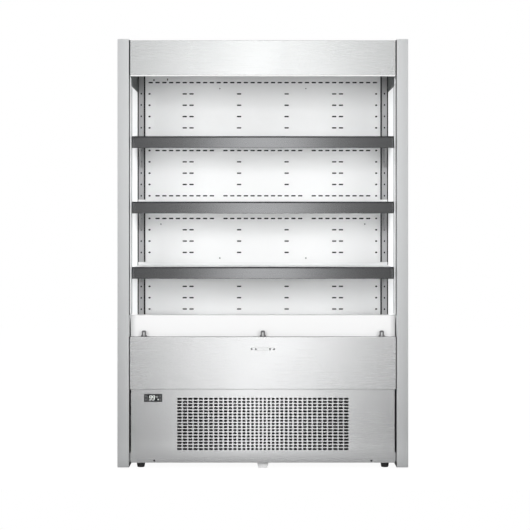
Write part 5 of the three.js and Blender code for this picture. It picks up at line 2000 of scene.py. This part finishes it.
    def rear(self) -> None:
        """Rear panel with rows of pressed louvres and its screws."""
        carry(REAR_SKIN, "rear_louvre_panel")
        x, (_, back), z = extent("rear_louvre_panel")
        inside = back - OVERLAP
        shape = Shape("rear_louvre_hoods")
        for side, _ in SIDES:
            for i in range(self.louvres):
                w = z[1] - 0.04 - i * self.louvre_pitch
                u = side * self.louvre_x
                hood = [(inside, w + 0.0075), (back + 0.0042, w + 0.0005), (back + 0.0055, w - 0.0035),
                        (back + 0.0048, w - 0.0035), (back + 0.0034, w), (inside, w + 0.006)]
                shape.plate(Axis.X, hood, about(u, self.louvre_width), REAR_SKIN)
                cheek = [(inside, w + 0.0072), (back + 0.0042, w + 0.0003), (back + 0.0052, w - 0.0035),
                         (inside, w - 0.0035)]
                for end in (-1, 1):
                    shape.plate(Axis.X, cheek, about(u + end * self.louvre_width / 2, 0.0012), REAR_SKIN)
        for u in spread(x, 0.018, 6):
            for w in (z[0] + 0.01, z[1] - 0.01):
                shape.screw((u, back, w), Axis.Y, 0.004, SCREW_STEEL, 1)
        shape.done("root")

    def gland(self) -> None:
        """Cable gland with a knurled cap."""
        x, y, z = extent("cable_gland")
        shape = Shape("cable_gland_capped")
        centre = (centre_of(x), y[0], centre_of(z))
        r, deep = (x[1] - x[0]) / 2, y[1] - y[0]
        ring = [(0.004, 0), (r, 0), (r, deep * 0.2), (r * 0.78, deep * 0.26), (r * 0.78, deep * 0.62),
                (r * 0.62, deep), (0.004, deep)]
        shape.turned(ring, centre, Axis.Y, BLACK_PLASTIC, 32, ring=True)
        rib = [(0, deep * 0.28), (0.0013, deep * 0.3), (0.0013, deep * 0.58), (0, deep * 0.6)]
        for i in range(self.gland_ribs):
            turn = i * FULL_TURN / self.gland_ribs
            u, w = centre[0] + r * 0.79 * math.cos(turn), centre[2] + r * 0.79 * math.sin(turn)
            shape.turned(rib, (u, centre[1], w), Axis.Y, BLACK_PLASTIC, 6)
        shape.done("root", ["cable_gland"])


@dataclass
class Studio:
    """Camera, floor, lamps and world."""

    camera_place: Place = (0.0, -7.01, 1.037)
    lens: float = 110.35
    sensor: float = 36.0
    shift: Size = (0.00406, -0.0887)
    floor_front: float = -0.8
    floor_size: float = 9.0
    floor_gap: float = 0.0004
    paper: float = 0.5
    glare: float = 1.2
    glare_share: float = 0.8
    softbox: float = 2.85
    key: float = 9.0
    liner: float = 22.0
    ambient: float = 0.43
    behind: float = 0.95

    def build(self) -> None:
        """Sets up the studio."""
        self.camera()
        self.floor()
        self.lamps()
        self.world()
        bpy.context.scene.view_settings.view_transform = "Standard"

    def camera(self) -> None:
        """The camera, level and straight on, shifted to the photograph's framing."""
        camera = bpy.data.cameras.new("camera")
        camera.lens = self.lens
        camera.sensor_width = self.sensor
        camera.shift_x, camera.shift_y = self.shift
        camera.clip_end = 100
        holder = bpy.data.objects.new("camera", camera)
        holder.location = self.camera_place
        holder.rotation_euler = (math.pi / 2, 0, 0)
        bpy.context.scene.collection.objects.link(holder)
        bpy.context.scene.camera = holder

    def floor(self) -> None:
        """Pale floor that shows white to the camera and keeps a soft shadow."""
        part = bmesh.new()
        bmesh.ops.create_grid(part, x_segments=1, y_segments=1, size=0.5)
        bmesh.ops.scale(part, vec=(self.floor_size, self.floor_size, 1), verts=part.verts[:])
        middle = (0, self.floor_front + self.floor_size / 2, -self.floor_gap)
        bmesh.ops.translate(part, vec=middle, verts=part.verts[:])
        mesh = bpy.data.meshes.new("studio_floor")
        part.to_mesh(mesh)
        part.free()
        floor = bpy.data.objects.new("studio_floor", mesh)
        bpy.context.scene.collection.objects.link(floor)
        material = bpy.data.materials.new("studio_floor")
        material.use_nodes = True
        graph = Graph(material.node_tree)
        path = graph.node("ShaderNodeLightPath")
        paper = graph.node("ShaderNodeBsdfDiffuse", None, {"Color": (self.paper,) * 3})
        white = graph.node("ShaderNodeEmission", None, {"Color": (1, 1, 1), "Strength": self.glare})
        seen = Value(graph, path.outputs["Is Camera Ray"]) * self.glare_share
        mixed = graph.node("ShaderNodeMixShader", None, {0: seen, 1: paper.outputs[0], 2: white.outputs[0]})
        graph.node("ShaderNodeOutputMaterial", None, {"Surface": mixed.outputs[0]})
        mesh.materials.append(material)

    def lamp(self, name: str, place: Place, target: Place, size: Size, radiance: float,
             mirrored: bool = True, lit: Sequence[str] = ()) -> None:
        """A rectangular soft lamp.

        Args:
            name: Its name.
            place: Where it stands.
            target: What it points at.
            size: Its width and height.
            radiance: How bright its face is.
            mirrored: Whether metal mirrors it.
            lit: The objects that it lights, or none for all of them.
        """
        light = bpy.data.lights.new(name, "AREA")
        light.shape = "RECTANGLE"
        light.size, light.size_y = size
        light.energy = radiance * math.pi * size[0] * size[1]
        holder = bpy.data.objects.new(name, light)
        holder.location = place
        way = Vector(target) - Vector(place)
        holder.rotation_euler = way.to_track_quat("-Z", "Y").to_euler()
        holder.visible_camera = False
        holder.visible_glossy = mirrored
        if lit:
            receivers = bpy.data.collections.new(f"{name}_receivers")
            for receiver in lit:
                receivers.objects.link(bpy.data.objects[receiver])
            holder.light_linking.receiver_collection = receivers
            holder.light_linking.blocker_collection = receivers
        bpy.context.scene.collection.objects.link(holder)

    def lamps(self) -> None:
        """Tall softbox behind the camera, two side keys, and a lamp for each side liner."""
        self.lamp("softbox", (0.0, -9.0, 1.1), (0.0, 0.0, 1.1), (0.95, 5.4), self.softbox)
        for side, word in SIDES:
            place = (side * 2.5, -5.2, 1.8)
            self.lamp(f"key_{word}", place, (0.0, 0.0, 1.0), (2.0, 2.0), self.key, mirrored=False)
            place, target = (-side * 1.6, -2.2, 1.15), (side * 0.55, 0.0, 1.15)
            lit = (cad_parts[f"side_liner_{word}"].name, f"jamb_trim_{word}")
            self.lamp(f"liner_{word}", place, target, (1.0, 1.4), self.liner, mirrored=False, lit=lit)

    def world(self) -> None:
        """White for the camera and glass, a soft room for metal, plain ambient for the rest."""
        world = bpy.data.worlds.new("studio")
        bpy.context.scene.world = world
        world.use_nodes = True
        graph = Graph(world.node_tree)
        path = graph.node("ShaderNodeLightPath")
        seen, through = (Value(graph, path.outputs[f"Is {ray} Ray"]) for ray in ("Camera", "Transmission"))
        glossy = path.outputs["Is Glossy Ray"]
        place = graph.node("ShaderNodeTexCoord").outputs["Generated"]
        across, front, up = graph.node("ShaderNodeSeparateXYZ", None, {0: place}).outputs
        behind = graph.ramp(front, (-0.35, 0.25), (0.0, 1.0))
        width = Value(graph, across) * Value(graph, across)
        ahead = (graph.ramp(up, (-0.16, 0.0), (0.0, 0.53)) + graph.ramp(up, (0.25, 0.8), (0.0, 0.6))
                 + graph.ramp(width, (0.035, 0.2), (0.0, 0.42)) + graph.ramp(up, (-0.5, -0.2), (0.42, 0.0)))
        room = behind * self.behind + (1 - behind) * ahead
        shown = graph.mix(graph.mix((self.ambient,) * 3, (0.0, 0.0, 0.0), glossy), (1, 1, 1), seen + through)
        base = graph.node("ShaderNodeBackground", None, {"Color": shown, "Strength": 1.0})
        grey = graph.node("ShaderNodeCombineColor", None, {0: room, 1: room, 2: room})
        metal = graph.node("ShaderNodeBackground", None, {"Color": grey.outputs[0], "Strength": 1.0})
        mirrored = Value(graph, glossy) * (1 - seen)
        shaders = {0: mirrored, 1: base.outputs[0], 2: metal.outputs[0]}
        mixed = graph.node("ShaderNodeMixShader", None, shaders)
        graph.node("ShaderNodeOutputWorld", None, {"Surface": mixed.outputs[0]})


def main() -> None:
    """Builds every sub-assembly in order, then the studio."""
    logging.basicConfig(level=logging.INFO, format="%(message)s")
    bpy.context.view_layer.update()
    shelves = (Shelf("lower", bracket_heel=0.073), Shelf("middle"), Shelf("upper"))
    assemblies = (EndPanels(), OuterPanels(), Plinth(), Grille(), Controller(), FrontPanel(), Riser(),
                  BackWall(), *shelves, Canopy(), NightBlind(), Well(), Machine())
    for assembly in assemblies:
        LOG.info("building %s", type(assembly).__name__)
        assembly.build()
    Studio().build()


if __name__ == "__main__":
    main()
